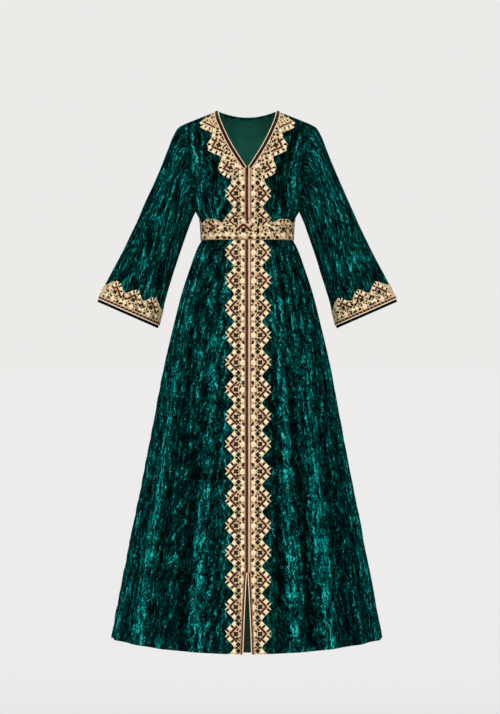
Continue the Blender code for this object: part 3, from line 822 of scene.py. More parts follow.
def pile_lie_and_painted_streaks(points, sign):
    """Painted highlight and shade on a skirt panel, from the table of streaks, wandering as they fall, over a
    random lie of the pile.
    """
    x, z = points[..., 0], points[..., 2]
    down = np.clip((z - WAIST_Z) / (HEM_SIDE_Z - WAIST_Z), 0, 1)
    half = skirt_half(down)
    wander = 0.02 * ripple(0 * z, z, 70.0) + 0.008 * ripple(x, z, 71.0)
    share = x / half + wander
    lift = 0.25 * ripple(x, z, 72.0)
    # painted light and shade of narrow gathers that run down from the waist, parting as they fall
    gather_shading = ripple(330 * np.arcsin(np.clip(x / half, -1, 1)), 0.2 * z, 73.0)
    lift = lift + gather_shading * (0.3 + 0.95 * smooth_step((0.42 - down) / 0.35))
    for row in PAINTED_STREAKS:
        place = np.interp(down, (0, 1), (row["top"], row["hem"]))
        if not sign:
            place = -0.93 * place
        run = smooth_step((down - row["from"]) / 0.15) * smooth_step((row["to"] + 0.15 - down) / 0.15)
        lift = lift + row["lift"] * run * np.exp(-(((share - place) / row["width"]) ** 2))
    return lift


for name, sign, rows, columns in (
    ("skirt_front_left", -1, 180, 170),
    ("skirt_front_right", 1, 180, 170),
    ("skirt_back", 0, 170, 260),
):
    grid = skirt_grid(sign, rows, columns)
    inside = np.array([0.0, 0.0, -900.0])
    # painted light: the folds' crests are drawn lighter and their troughs darker, with the painted streaks
    # laid over them
    nap_and_painted_light = 0.35 * relief(grid, inside, False) + pile_lie_and_painted_streaks(grid, sign)
    piece = shell(name + "_velvet", grid, inside, SKIRT_VELVET, seams=(1,), nap_and_painted_light=nap_and_painted_light)
    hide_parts(name)
    PANELS[name] = (piece, grid, False)

# %% [markdown]
# ## Sleeves
# A sleeve is one piece with a seam underneath, set into the armhole and widening to the cuff. It hangs
# down and outwards, with soft folds where the elbow would be. An angle round it and a share down it are
# turned to millimetres by its mean radius of 75 mm and its length of 470 mm.

# %% Sleeve panels
for name, side in (("sleeve_left", -1), ("sleeve_right", 1)):
    angle = np.linspace(0, 2 * np.pi, 180, endpoint=False)[None, :]
    t = np.linspace(0, 1, 110)[:, None]
    creases = 2.2 * ripple(angle * 75, t * 470 + 2000 * side, 7.0) + ripple(angle * 75, t * 470, 30.0, 0.6)
    grid = sleeve_surface(side, angle, t, creases)
    middle = grid.mean(axis=1, keepdims=True)
    # painted light: the folds' crests are drawn lighter and their troughs darker, over a random lie of the
    # pile
    nap_and_painted_light = 0.6 * relief(grid, middle, True) + 0.4 * ripple(angle * 75, t * 470, 60.0)
    nap_and_painted_light = nap_and_painted_light + 0.8 * ripple(angle * 95, t * 120, 61.0) - 0.2
    # painted shade under the edge of the embroidered band: the velvet below it is drawn dark
    nap_and_painted_light = nap_and_painted_light - 1.6 * smooth_step((t - 0.955) / 0.02)
    piece = shell(name + "_velvet", grid, middle, VELVET, loop=True, nap_and_painted_light=nap_and_painted_light)
    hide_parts(name)
    PANELS[name] = (piece, grid, True)

# %% [markdown]
# ## Where a band lies
# Each band has its own measure: "along" runs down its straight edge and "out" runs away from it, both in
# millimetres on the cloth. One function a band turns the two into a point of the velvet under it. The
# band's ground, its motifs and its cords are all drawn in this measure and then lifted off the velvet.

# %% Band measures
PITCH = 75.3
FIRST_TIP_Z = -397.5
SCALLOP = table("""
    along out
    0 56.5, 8 63.7, 22.5 50.5, 25.5 46.5, 37.65 37.6
""")
# how far each place of a skirt band lies below its even pitch
SLIP = table("""
    along lower
    -34.9 0, 0 1.1, 75.3 4.4, 150.6 5.3, 677.7 5.3, 903.6 2.5, 1054 0
""")
NECK_CORNERS = table("""
    along out
    0 39, 3.5 41, 7 62.5, 14 60.5, 20.5 67, 36 56, 38.5 51.5, 51 44.4, 62 53.5, 64.5 58.5, 71.5 72
    80 71, 88 77.5, 106.5 65, 109 59.5, 121.5 51.8, 134 62, 136.5 66, 152.5 76, 169 69, 187 78, 203 65
    205.5 58, 215 44, 229.5 49.5, 245.5 64, 253.5 57, 261.5 64, 277.5 49.5, 291 40, 304.5 49.5
    320.5 64, 328.5 57, 336.5 64, 366 40
""")
CLOSURE_MIDDLES = (253.5, 328.5)  # of the two straight motifs above the waistband
SIDE_SHIFT = {-1: -2.2, 1: 2.2}  # the embroidery's middle lies a little to the right of the closing edge
CUFF_LEAN = {-1: -1, 1: 1}  # which way along a cuff leads outwards
NECK_TURN = (128.0, 214.0)  # where along it the neck band turns from the V's slope to upright
V_LENGTH = math.hypot(NECK_HALF, V_DEPTH)
NECK_END = V_LENGTH - V_DEPTH - BAND_PEAK_Z
WAIST_PEAKS = [0, 51, 93, 129, 162, 198, 231, 267, 309]  # of the waistband's scallops, in degrees
WAIST_FRONT = 27.5  # as far round as this its upper edge is straight, where the neck bands end on it
CUFF_SCALLOPS, CUFF_EDGE = 8, 7.8  # how many there are, and the plain velvet below them
# where a cuff's scallops lie: a place along it, inwards from the front, and how many scallops that is; the
# valley at each side is drawn out, where the ribbon is eased round the bend
CUFF_TURNS = listed("""
    -124 -1.56, -98.5 -1.5, -64 -0.93, -26 -0.5, 0 0, 29.5 0.5, 64.5 1.08, 99.5 1.5, 124 1.56
""")
FRONTWARD = np.array([0.0, -1.0, 0.0])
print(f"the neck bands are {NECK_END:.0f} mm long, {V_LENGTH:.0f} mm of it along the V")

# %% [markdown]
# ### From a band's measure to the velvet
# The skirt bands run straight down, so their measure is turned to a height and an angle round the skirt.
# The neck bands turn from the slope of the V to upright. The waistband and the cuffs are closed rings,
# along which the distance is found by adding up short steps.


# %% Band surfaces
def skirt_z(along):
    """Height of a place along a skirt band."""
    return FIRST_TIP_Z - along - straight(SLIP, "lower", "along", along)


def slit_out(along):
    """Where the closing edge of a skirt band lies: away from the middle beside the slit."""
    return slit_x(skirt_z(along)) - SEAM


def skirt_place(side):
    """The measure of a skirt band."""
    def place(along, out):
        down = (skirt_z(along) - WAIST_Z) / (HEM_FRONT_Z - WAIST_Z)
        return skirt_surface(side * front_angle(SEAM + out, down), down)

    return place


def neck_place(side):
    """The measure of a neck band: down the V from the shoulder, then down the closure."""
    slope = math.atan2(NECK_HALF, V_DEPTH)

    def place(along, out):
        on_v = np.clip(along / V_LENGTH, None, 1)
        x = np.maximum(NECK_HALF * (1 - on_v), SEAM)
        z = -V_DEPTH * on_v - np.maximum(along - V_LENGTH, 0)
        turn = slope * (1 - smooth_step((along - NECK_TURN[0]) / (NECK_TURN[1] - NECK_TURN[0])))
        x = x + np.cos(turn) * out
        z = np.minimum(z - np.sin(turn) * out, shoulder_line(x))
        return bodice_surface(side * x, z, "front")

    return place


def opening_out(along, side):
    """Where the edge of the neck opening lies in a neck band's measure."""
    out = np.zeros(np.shape(along))
    for _ in range(6):
        point = NECK_PLACE[side](along, out)
        out = out + neck_edge_x(point[..., 2]) - np.abs(point[..., 0])
    return out


def arc_reader(ring, front):
    """A function from distance round a closed ring of points to the angle there, from the front."""
    angle = np.linspace(-np.pi, np.pi, 721) + front
    points = ring(angle)
    gone = np.concatenate([[0], np.cumsum(np.linalg.norm(np.diff(points, axis=0), axis=-1))])
    middle, whole = np.interp(front, angle, gone), gone[-1]
    return lambda along: np.interp((along + middle) % whole, gone, angle), whole


def waist_ring(angle, out):
    """Point of the waistband, which leans out a little towards its upper edge."""
    lean = out / (BAND_PEAK_Z - BAND_BOTTOM_Z)
    level = SKIRT_ROWS[1]
    depth = np.where(np.cos(angle) > 0, level["front"], level["back"])
    x = (level["half_width"] + 4 * lean**2) * np.sin(angle)
    y = -(depth + 5.5 * lean**2) * np.cos(angle)
    return np.stack(np.broadcast_arrays(x, y, BAND_BOTTOM_Z + out), axis=-1)


WAIST_LEVEL = 20.0  # the height on the waistband at which it is measured round
WAIST_ANGLE, WAIST_ROUND = arc_reader(lambda angle: waist_ring(angle, WAIST_LEVEL), 0.0)


def waist_place(along, out):
    """Point of the waistband in its measure."""
    along, out = np.broadcast_arrays(along, np.asarray(out, float))
    return waist_ring(WAIST_ANGLE(along), out)


def cuff_place(side):
    """A cuff band's measure, up from the sleeve's end, and the distance round that end."""
    reader, whole = arc_reader(lambda angle: sleeve_surface(side, angle, 1.0), np.pi / 2)
    share = 0.12  # of the sleeve's length, over which it is taken as straight

    def place(along, out):
        along, out = np.broadcast_arrays(along, np.asarray(out, float))
        angle = reader(along)
        reach = sleeve_surface(side, angle, 1.0) - sleeve_surface(side, angle, 1 - share)
        return sleeve_surface(side, angle, 1 - share * out / np.linalg.norm(reach, axis=-1))

    return place, whole


def lifted(place, along, out, lift):
    """Points of a band's measure, lifted off the velvet, and their unit normals."""
    along, out = np.broadcast_arrays(np.asarray(along, float), np.asarray(out, float))
    step = 0.4
    onward = place(along + step, out) - place(along - step, out)
    outward = place(along, out + step) - place(along, out - step)
    normal = np.cross(onward, outward)
    normal /= np.maximum(np.linalg.norm(normal, axis=-1, keepdims=True), 1e-9)
    normal *= place.facing
    return place(along, out) + normal * np.asarray(lift)[..., None], normal


def facing(place, along, out):
    """Find which way round a band's measure turns, from one place on its front."""
    place.facing = 1.0
    place.facing = float(np.sign(np.dot(lifted(place, along, out, 0.0)[1], FRONTWARD)))
    return place


SKIRT_PLACE = {side: facing(skirt_place(side), 400.0, 30.0) for side in (-1, 1)}
NECK_PLACE = {side: facing(neck_place(side), 230.0, 30.0) for side in (-1, 1)}
WAIST_PLACE = facing(waist_place, 0.0, 20.0)
CUFF_PLACE, CUFF_ROUND = {}, {}
for side in (-1, 1):
    CUFF_PLACE[side], CUFF_ROUND[side] = cuff_place(side)
    facing(CUFF_PLACE[side], 0.0, 20.0)
print(f"round the waist {WAIST_ROUND:.0f} mm, round a cuff {CUFF_ROUND[1]:.0f} mm")


# %% [markdown]
# ## Scalloped edges
# The bands are embroidered on a machine as ribbons with one straight and one scalloped edge, then cut
# out along the scallops and sewn on. A scallop has two small tips with a notch between, and a valley
# half-way to the next. Down the V of the neck the scallops fan out, so each one there has its own width.


# %% Widths
def scallop_out(along):
    """Width of a skirt band."""
    from_tip = np.abs((np.asarray(along, float) + PITCH / 2) % PITCH - PITCH / 2)
    return straight(SCALLOP, "out", "along", from_tip)


def neck_width(along, side):
    """Width of a neck band."""
    return straight(NECK_CORNERS, "out", "along", along) + SIDE_SHIFT[side] * smooth_step((along - 150) / 60)


def waist_height(along):
    """Height of the waistband's scalloped edge above its lower one."""
    angle = WAIST_ANGLE(along)
    gap = np.degrees(np.min([np.abs(turned(angle, peak)) for peak in WAIST_PEAKS[1:]], axis=0))
    peak = np.interp(gap, (0, 5, 9, 18), (0.92, 1, 0.84, 0))
    front = np.interp(np.degrees(np.abs(turned(angle, 0))), (WAIST_FRONT, WAIST_FRONT + 4), (1, 0))
    return BAND_VALLEY_Z - BAND_BOTTOM_Z + (BAND_PEAK_Z - BAND_VALLEY_Z) * np.maximum(peak, front)


# the edge of one cuff scallop, from the sleeve's outer side inwards, as shares of its length
CUFF_PROFILE = table("""
    share height
    -0.5 53, -0.19 71, -0.1 71, 0.03 77.5, 0.12 73.5, 0.3 62.5, 0.34 59, 0.5 53
""")


def cuff_turns(whole):
    """Places along a whole cuff, inwards from the front, and how many scallops each of them is."""
    ends = [(-whole / 2, -CUFF_SCALLOPS / 2), (whole / 2, CUFF_SCALLOPS / 2)]
    return zip(ends[0], *CUFF_TURNS, ends[1])


def cuff_along(turn, whole, side):
    """The middle of a cuff's scallop, counted inwards from the front one; the front three are wider."""
    places, turns = cuff_turns(whole)
    return -CUFF_LEAN[side] * float(np.interp(turn, turns, places))


def cuff_height(along, whole, side):
    """Height of a cuff band's scalloped edge above the sleeve's end."""
    places, turns = cuff_turns(whole)
    inwards = -CUFF_LEAN[side] * ((along + whole / 2) % whole - whole / 2)
    gone = (np.interp(inwards, places, turns) + 0.5) % 1 - 0.5
    return straight(CUFF_PROFILE, "height", "share", gone)


# %% [markdown]
# ## Embroidery threads
# The motifs are satin stitch in shiny rayon thread on a cream ground: burgundy bars, bottle-green
# flowers and dots, paler cream blocks, and a little rose and orange. Satin stitches lie side by side and
# shine along their length. Real threads are 0.4 mm wide, too fine to show on a whole garment, so the
# ribs are drawn 1.6 mm apart. The thread is 0.45 rough, with the 1.53 index of rayon.


# %% Threads
RAYON_IOR = 1.53


def thread_material(name, low, high, rough=0.5, shine=0.3, rib=1.6, specks=None):
    """Stitched thread between two shades; specks are small dark stitches scattered over a ground."""
    material, tree, shader = blank(name)
    cloth = add(tree, "UVMap", {"uv_map": "cloth_mm"})
    # a Blender wave repeats every 2 pi / 20 of its scaled length
    ribs = add(tree, "TexWave", {"bands_direction": "X"}, i0=cloth.outputs[0],
               Scale=math.pi / 10 / (rib * MM), Distortion=1.2, Detail=1.0)
    tint = add(tree, "TexNoise", i0=cloth.outputs[0], Scale=260.0, Detail=2.0)
    both = scaled(tree, ribs.outputs["Fac"], 0.35, tint.outputs["Fac"])
    colour = ramp(tree, both, (0.38, low), (0.85, high))
    paint = colour.outputs[0]
    if specks:
        # one small stitch in about every 4 mm
        cell = add(tree, "TexVoronoi", i0=cloth.outputs[0], Scale=210.0, Randomness=0.9)
        near = add(tree, "MapRange", i0=cell.outputs["Distance"], i1=0.3, i2=0.42, i3=1.0, i4=0.0)
        mix = add(tree, "Mix", {"data_type": "RGBA"}, i0=near.outputs[0], i6=paint, i7=linear(specks))
        paint = mix.outputs[2]
    bump = add(tree, "Bump", Strength=0.4, Distance=0.0004, Height=ribs.outputs["Fac"])
    feed(tree, shader, Base_Color=paint, Normal=bump.outputs[0], Roughness=rough, IOR=RAYON_IOR,
         Specular_IOR_Level=shine)
    return material


THREADS = {
    "ground": thread_material("cream_embroidered_ground", "#bc9a68", "#ead0a2", 0.62, specks="#14100c"),
    "cream": thread_material("cream_satin_stitch", "#e0c394", "#f8e6c2", 0.45),
    "burgundy": thread_material("burgundy_satin_stitch", "#2e0004", "#580309", 0.45, 0.15),
    "green": thread_material("bottle_green_satin_stitch", "#000403", "#031a17", 0.5, 0.1),
    "rose": thread_material("rose_satin_stitch", "#7a4632", "#b28060", 0.48),
    "khaki": thread_material("khaki_twisted_cord", "#6e5c3a", "#b7a17a", 0.5),
}
THREAD_ORDER = list(THREADS)
print("threads:", THREAD_ORDER)


# %% [markdown]
# ## Band grounds
# The ground of a band is a closed strip 1 mm thick with the scalloped outline, laid 0.4 mm off the
# velvet so that it never sinks into the nap.


# %% Band grounds
BAND_LOW, BAND_HIGH = 0.4, 1.5


def ground(name, node, place, stops, start_out, end_out, columns=14, loop=False, extra=0.0, seams=()):
    """A band's ground between two distances out, along the given stops."""
    share = np.linspace(0, 1, columns)[:, None]
    out = start_out + (end_out - start_out) * share
    along = np.broadcast_to(stops, out.shape)
    points, normal = lifted(place, along, out, 0.0)
    grid = points + normal * extra
    cloth, slot = [THREADS["ground"]], "embroidered_band"
    piece = shell(name, grid, grid - normal, cloth, BAND_LOW, BAND_HIGH, loop, seams)
    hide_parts(node)


def stops_for(start, end, corners, step=3.0):
    """Evenly spaced places along a band, with every corner of its outline among them."""
    inner = [corner for corner in corners if start < corner < end]
    places = np.concatenate([np.arange(start, end, step), [start, end], inner])
    places = np.unique(np.round(places, 2))
    keep = np.append(True, np.diff(places) > 0.4)
    return places[keep]


SIDE_NAME = {-1: "left", 1: "right"}
skirt_start = FIRST_TIP_Z - BAND_BOTTOM_Z + 0.6
skirt_end = FIRST_TIP_Z - HEM_FRONT_Z
corners = [turn * PITCH + way * row["along"] for turn in range(-1, 17) for row in SCALLOP for way in (-1, 1)]
skirt_stops = stops_for(skirt_start, skirt_end, corners)
neck_stops = stops_for(0.0, NECK_END, [row["along"] for row in NECK_CORNERS])
for side, label in SIDE_NAME.items():
    ground(f"front_band_{label}", f"front_trim_{label}", SKIRT_PLACE[side], skirt_stops,
           slit_out(skirt_stops), scallop_out(skirt_stops) + SIDE_SHIFT[side], seams=(0,))
    ground(f"neck_band_{label}", f"neck_trim_{label}", NECK_PLACE[side], neck_stops,
           opening_out(neck_stops, side), neck_width(neck_stops, side), seams=(0, 1))
    stops = np.arange(CUFF_SCALLOPS * 18) * CUFF_ROUND[side] / (CUFF_SCALLOPS * 18)
    ground(f"cuff_band_{label}", f"cuff_trim_{label}", CUFF_PLACE[side], stops,
           CUFF_EDGE, cuff_height(stops, CUFF_ROUND[side], side), loop=True)
stops = np.arange(260) * WAIST_ROUND / 260
WAIST_EXTRA = 1.4  # the waistband lies over the ends of the skirt and neck bands
ground("waist_band", "waistband", WAIST_PLACE, stops, 0.0, waist_height(stops), loop=True, extra=WAIST_EXTRA)

# %% [markdown]
# ## Motifs
# One motif fills one scallop and is repeated, mirrored by the band it lies on. Each stitch pad is a
# row: its place along from the scallop's middle and out from the straight edge, half its length and
# width, how far it is turned, how square its corners are (1 a diamond, 2 an oval, 6 a block), its thread
# and how high it is raised. The pattern is the eight-dot flower in a chevron, with blocks round the edge,
# that is usual on such ribbons. Each pad is its own small closed form, as satin stitch stands up from the
# ground; painting the pattern on would leave it flat.


# %% Motif
Pad = collections.namedtuple("Pad", "along out long wide turn corner thread raised")
BOTH = (-1, 1)
# dark stitches beside cream ones look smaller than they are, so they are drawn a little over size
OVERSIZE = {"green": 1.35, "burgundy": 1.12}
LONG_STITCH = 6.0  # from this length on only the width is drawn over size


def pads(text):
    """Stitch pads from a text table; a row that starts with both stands for a pad and its mirror image."""
    made = []
    for row in listed(text):
        if row[0] == "both":
            _, along, *shape, turn, corner, thread, raised = row
            made += [Pad(way * along, *shape, way * turn, corner, thread, raised) for way in BOTH]
        else:
            made.append(Pad(*row))
    return made


MOTIF = pads("""
    both 10.3 40.3 15.9 2.8 -43.6 8 burgundy 1, -3.2 29.8 2.7 2.7 45 2 green 0.9
    -3.2 36.2 2.7 2.7 45 2 green 0.9, 3.2 29.8 2.7 2.7 45 2 green 0.9, 3.2 36.2 2.7 2.7 45 2 green 0.9
    0 33 1.9 1.9 0 2 burgundy 1.2, -12.4 27.9 3.3 2.4 45 3 burgundy 0.9
    12.5 29 3.2 2.4 -45 3 green 0.9, -7.6 21.7 2.8 2.5 20 2 green 0.9, 10 21.7 2.8 2.5 -20 2 green 0.9
    0 23.6 2.6 0.9 0 2 rose 0.8, -19.6 25.2 1.7 1.5 0 2 rose 0.8, 17.6 24.4 2 1.7 0 2 burgundy 0.8
    0 14.4 7.4 7.4 0 2 cream 1.1, 0 14.4 1.2 1.2 0 2 rose 1.4, -9 10.4 4 1.5 -50 4 burgundy 0.8
    10 10.4 3.8 1.4 50 4 rose 0.8, -18.6 12.8 5.2 3.3 12 1.4 green 0.9
    -21 10.2 2.6 1.4 40 2 burgundy 1, 16.8 14 2.4 3.6 0 1.6 burgundy 0.9
    21.2 12 4.2 2.8 -14 1.4 green 0.9, both 20.3 42.9 2.1 4 -44 8 green 1
    both 8.5 56.2 2.2 3.9 -44 8 green 1, both 14.4 49.6 4.6 5.3 -44 7 cream 1
    both 27.2 38.4 4.9 5 -44 7 cream 1, both 5.6 58.6 1.2 4.4 -44 7 cream 1
    0 53.6 1.6 1.6 45 7 cream 0.9, -28.9 26.2 4.2 4.2 45 3 green 1, 28.9 26.2 4.2 4.2 45 3 green 1
    -28.9 26.2 1.5 1.5 45 2 burgundy 1.3, 28.9 26.2 1.5 1.5 45 2 burgundy 1.3
    both 29.2 14.4 5.8 5.6 0 2 cream 1
""")
VALLEY = pads("""
    37.65 31.4 2.6 3.9 0 2 green 1, 37.65 21.2 2 2.4 0 2 green 0.9, 35.05 9 2.6 1.1 -45 3 khaki 0.9
    40.25 9 2.6 1.1 45 3 khaki 0.9, 37.65 25.8 1.2 1.4 0 2 cream 0.8
""")
print(f"a motif has {len(MOTIF) + len(VALLEY)} pads")

# %% [markdown]
# ### Needle and thread
# Everything stitched on one band becomes one piece. The band's own measure places each stitch, and the
# stitch is raised square to the cloth there. Bars, flowers and fans are made of pads; a cord is a thin
# round tube, since it is a real cord that is couched down.


# %% Stitches
class Threads:
    """Pads and cords of one band gathered into one mesh, each with its own thread."""

    def __init__(self, place, base=BAND_HIGH):
        self.place, self.base = place, base
        self.points, self.faces, self.uv, self.thread, self.count = [], [], [], [], 0

    def put(self, points, faces, uv, thread):
        """Add one stitch's points and faces."""
        self.points.append(points)
        self.faces += [[corner + self.count for corner in face] for face in faces]
        self.uv.append(uv)
        self.thread += [THREAD_ORDER.index(thread)] * len(faces)
        self.count += len(points)

    def stretch(self, along, out):
        """Real millimetres for one along the band; less than one where it turns a corner."""
        return float(np.linalg.norm(self.place(along + 0.5, out) - self.place(along - 0.5, out)))

    def pad(self, along, out, pad, lift=0.0):
        """A raised patch of satin stitch: a rim sunk in the ground, a shoulder and a flat top."""
        turn, grow = np.radians(pad.turn), OVERSIZE.get(pad.thread, 1.0)
        long, wide = pad.long * (grow if pad.long < LONG_STITCH else 1), pad.wide * grow
        if pad.corner > 2.5:
            # a block, each of its corners cut a little
            steps = 8
            c = np.array([1, 0.8, -0.8, -1, -1, -0.8, 0.8, 1.0])
            s = np.array([0.7, 1, 1, 0.7, -0.7, -1, -1, -0.7])
        else:
            steps = 10
            theta = np.arange(steps) * 2 * np.pi / steps
            c, s = np.cos(theta), np.sin(theta)
            c, s = (np.sign(way) * np.abs(way) ** (2 / pad.corner) for way in (c, s))
        size = np.repeat([1.0, 0.8], steps)
        height = np.repeat([-0.15, 0.75 * pad.raised], steps) + self.base + lift
        c, s = np.tile(c, 2) * long, np.tile(s, 2) * wide
        a = (c * np.cos(turn) - s * np.sin(turn)) * size
        b = (c * np.sin(turn) + s * np.cos(turn)) * size
        points, _ = lifted(self.place, along + a / self.stretch(along, out), out + b, height)
        faces = [[i, (i + 1) % steps, steps + (i + 1) % steps, steps + i] for i in range(steps)]
        faces += [[steps + i for i in range(steps)], list(range(steps))[::-1]]
        if self.place.facing < 0:
            faces = [face[::-1] for face in faces]
        uv = np.stack([a * np.cos(turn) + b * np.sin(turn), b * np.cos(turn) - a * np.sin(turn)], axis=-1)
        self.put(points, faces, uv, pad.thread)

    def dot(self, along, out, radius, thread, long=None, turn=0):
        """A round dot, or a longer one where the band bends away."""
        self.pad(along, out, Pad(0, 0, long or radius, radius, turn, 2, thread, 1.0))

    def bar(self, start, end, thread, wide, lift=0.0):
        """A straight satin-stitch bar between two places, each along and out."""
        start, end = np.array(start, float), np.array(end, float)
        middle = (start + end) / 2
        run, rise = (end - start) * (self.stretch(*middle), 1)
        length = math.hypot(run, rise)
        parts = max(1, round(length / 9))
        turn = math.degrees(math.atan2(rise, run))
        pad = Pad(0, 0, length / 2 / parts + 0.6, wide, turn, 8, thread, 1.0)
        for part in range(parts):
            self.pad(*(start + (end - start) * (part + 0.5) / parts), pad, lift)

    def flower(self, along, out, size=1.0, spread=1.0):
        """Four dark dots round a burgundy one."""
        step = self.stretch(along, out)
        dot = Pad(0, 0, 2.7 * size * spread, 2.7 * size, 0, 2, "green", 0.9)
        for a in BOTH:
            for b in BOTH:
                self.pad(along + 3.2 * a * size * spread / step, out + 3.2 * b * size, dot)
        self.pad(along, out, Pad(0, 0, 1.6 * size * spread, 1.6 * size, 0, 2, "burgundy", 1.2))

    def motif(self, middle, limits, shift=0.0, inner=None):
        """The motif of one straight scallop, as far as it lies inside the limits and clear of the cords."""
        for pad in MOTIF + VALLEY:
            along, out = middle + pad.along, pad.out + shift
            clear = inner is None or out >= inner(along) + 6.5
            if clear and limits[0] + 0.6 * max(pad.long, pad.wide) < along < limits[1] - 2.0:
                self.pad(along, out, pad)

    def fan(self, row, inner=None):
        """A wide scallop: a flower in a bent chevron, with dark bars and cream blocks fanned round it."""
        centre, size = np.array(row["flower"]), row["size"]
        self.flower(*centre, size)
        for foot in row["feet"]:
            self.bar(row["apex"], foot, "burgundy", 2.6 * size)
        bars = np.array(row["bars"], float)
        for spot in bars:
            step = self.stretch(*spot)
            out_way = (spot - centre) * (step, 1)
            out_way = out_way / np.linalg.norm(out_way) * 2.9 * size * np.array([1 / step, 1])
            self.bar(spot - 1.3 * out_way, spot + 0.7 * out_way, "green", 2.0 * size)
        for a, b in zip(bars[:-1], bars[1:]):
            spot = (a + b) / 2 + (b - a)[::-1] * (-0.06, 0.06)
            run = (b - a) * (self.stretch(*spot), 1)
            gap = np.linalg.norm(run) / 2 - 2.8 * size
            if gap > 1.5:
                turn = math.degrees(math.atan2(run[1], run[0]))
                self.pad(*spot, Pad(0, 0, min(gap, 5.0), 4.4 * size, turn, 7, "cream", 1.0))
        for along, out, radius, thread in row["dots"]:
            if inner is None or out - radius >= float(inner(along)) + 9.0:
                self.dot(along, out, radius, thread, turn=20)

    def rope(self, line, out, width):
        """A rope of burgundy and dark strands: short slanting bars side by side."""
        for turn, along in enumerate(line):
            thread = ("burgundy", "green", "burgundy", "rose")[turn % 4]
            self.pad(along, out, Pad(0, 0, width * 0.62, 1.5, 58, 6, thread, 1.3))

    def cord(self, along, out, radius, thread, lift=0.0, sides=8, closed=False):
        """A round cord laid along the band, sunk a third into the ground."""
        along = np.asarray(along, float)
        out = np.broadcast_to(out, along.shape)
        centre, normal = lifted(self.place, along, out, self.base + lift + radius * 0.35)
        ahead = np.gradient(centre, axis=0)
        if closed:
            ahead = np.roll(centre, -1, axis=0) - np.roll(centre, 1, axis=0)
        ahead /= np.linalg.norm(ahead, axis=-1, keepdims=True)
        across = np.cross(ahead, normal)
        across /= np.linalg.norm(across, axis=-1, keepdims=True)
        raised = np.cross(across, ahead)
        turn = np.arange(sides) * 2 * np.pi / sides
        ring = across[:, None] * np.cos(turn)[:, None] + raised[:, None] * np.sin(turn)[:, None]
        points = (centre[:, None] + radius * ring).reshape(-1, 3)
        count = len(along)
        faces = []
        for i in range(count if closed else count - 1):
            near, far = i * sides, (i + 1) % count * sides
            for j in range(sides):
                k = (j + 1) % sides
                faces.append([far + j, far + k, near + k, near + j])
        if not closed:
            faces += [list(range(sides)), [(count - 1) * sides + j for j in range(sides)][::-1]]
        length = np.concatenate([[0], np.cumsum(np.linalg.norm(np.diff(centre, axis=0), axis=-1))])
        uv = np.stack(np.broadcast_arrays(length[:, None], turn[None] * radius), axis=-1).reshape(-1, 2)
        self.put(points, faces, uv, thread)

    def make(self, name, slot="embroidered_band"):
        """Turn all that is stitched into one piece."""
        mesh = bpy.data.meshes.new(name)
        mesh.from_pydata((np.concatenate(self.points) * MM).tolist(), [], self.faces)
        mesh.polygons.foreach_set("material_index", self.thread)
        lay_uv(mesh, np.concatenate(self.uv))
        smooth_mesh(mesh, 40)
        mesh.calc_loop_triangles()
        print(f"{name}: {len(mesh.loop_triangles)} triangles")
        return finish_piece(name, mesh, list(THREADS.values()))


print("stitches that can be made: pad, dot, bar, flower, motif, fan, rope and cord")

# %% [markdown]
# ## Skirt and neck bands
# Two stiff ribbons run from the shoulders down both sides of the V and the closure, and on to the hem.
# Where they meet, thin cords hide the join: a burgundy one, a dark gap, a khaki one and a rose one. The dark
# gap is drawn as a sunk dark green cord, a painted shadow of the join. Along the V a cream cord binds the
# edge, and burgundy, dark and cream ones follow it. The wide scallops of the V fan out, so each has a row of
# its own, in the neck band's
# measure: its flower, the chevron's apex and feet, the dark bars round its edge, and its dots, each along,
# out, radius and thread.

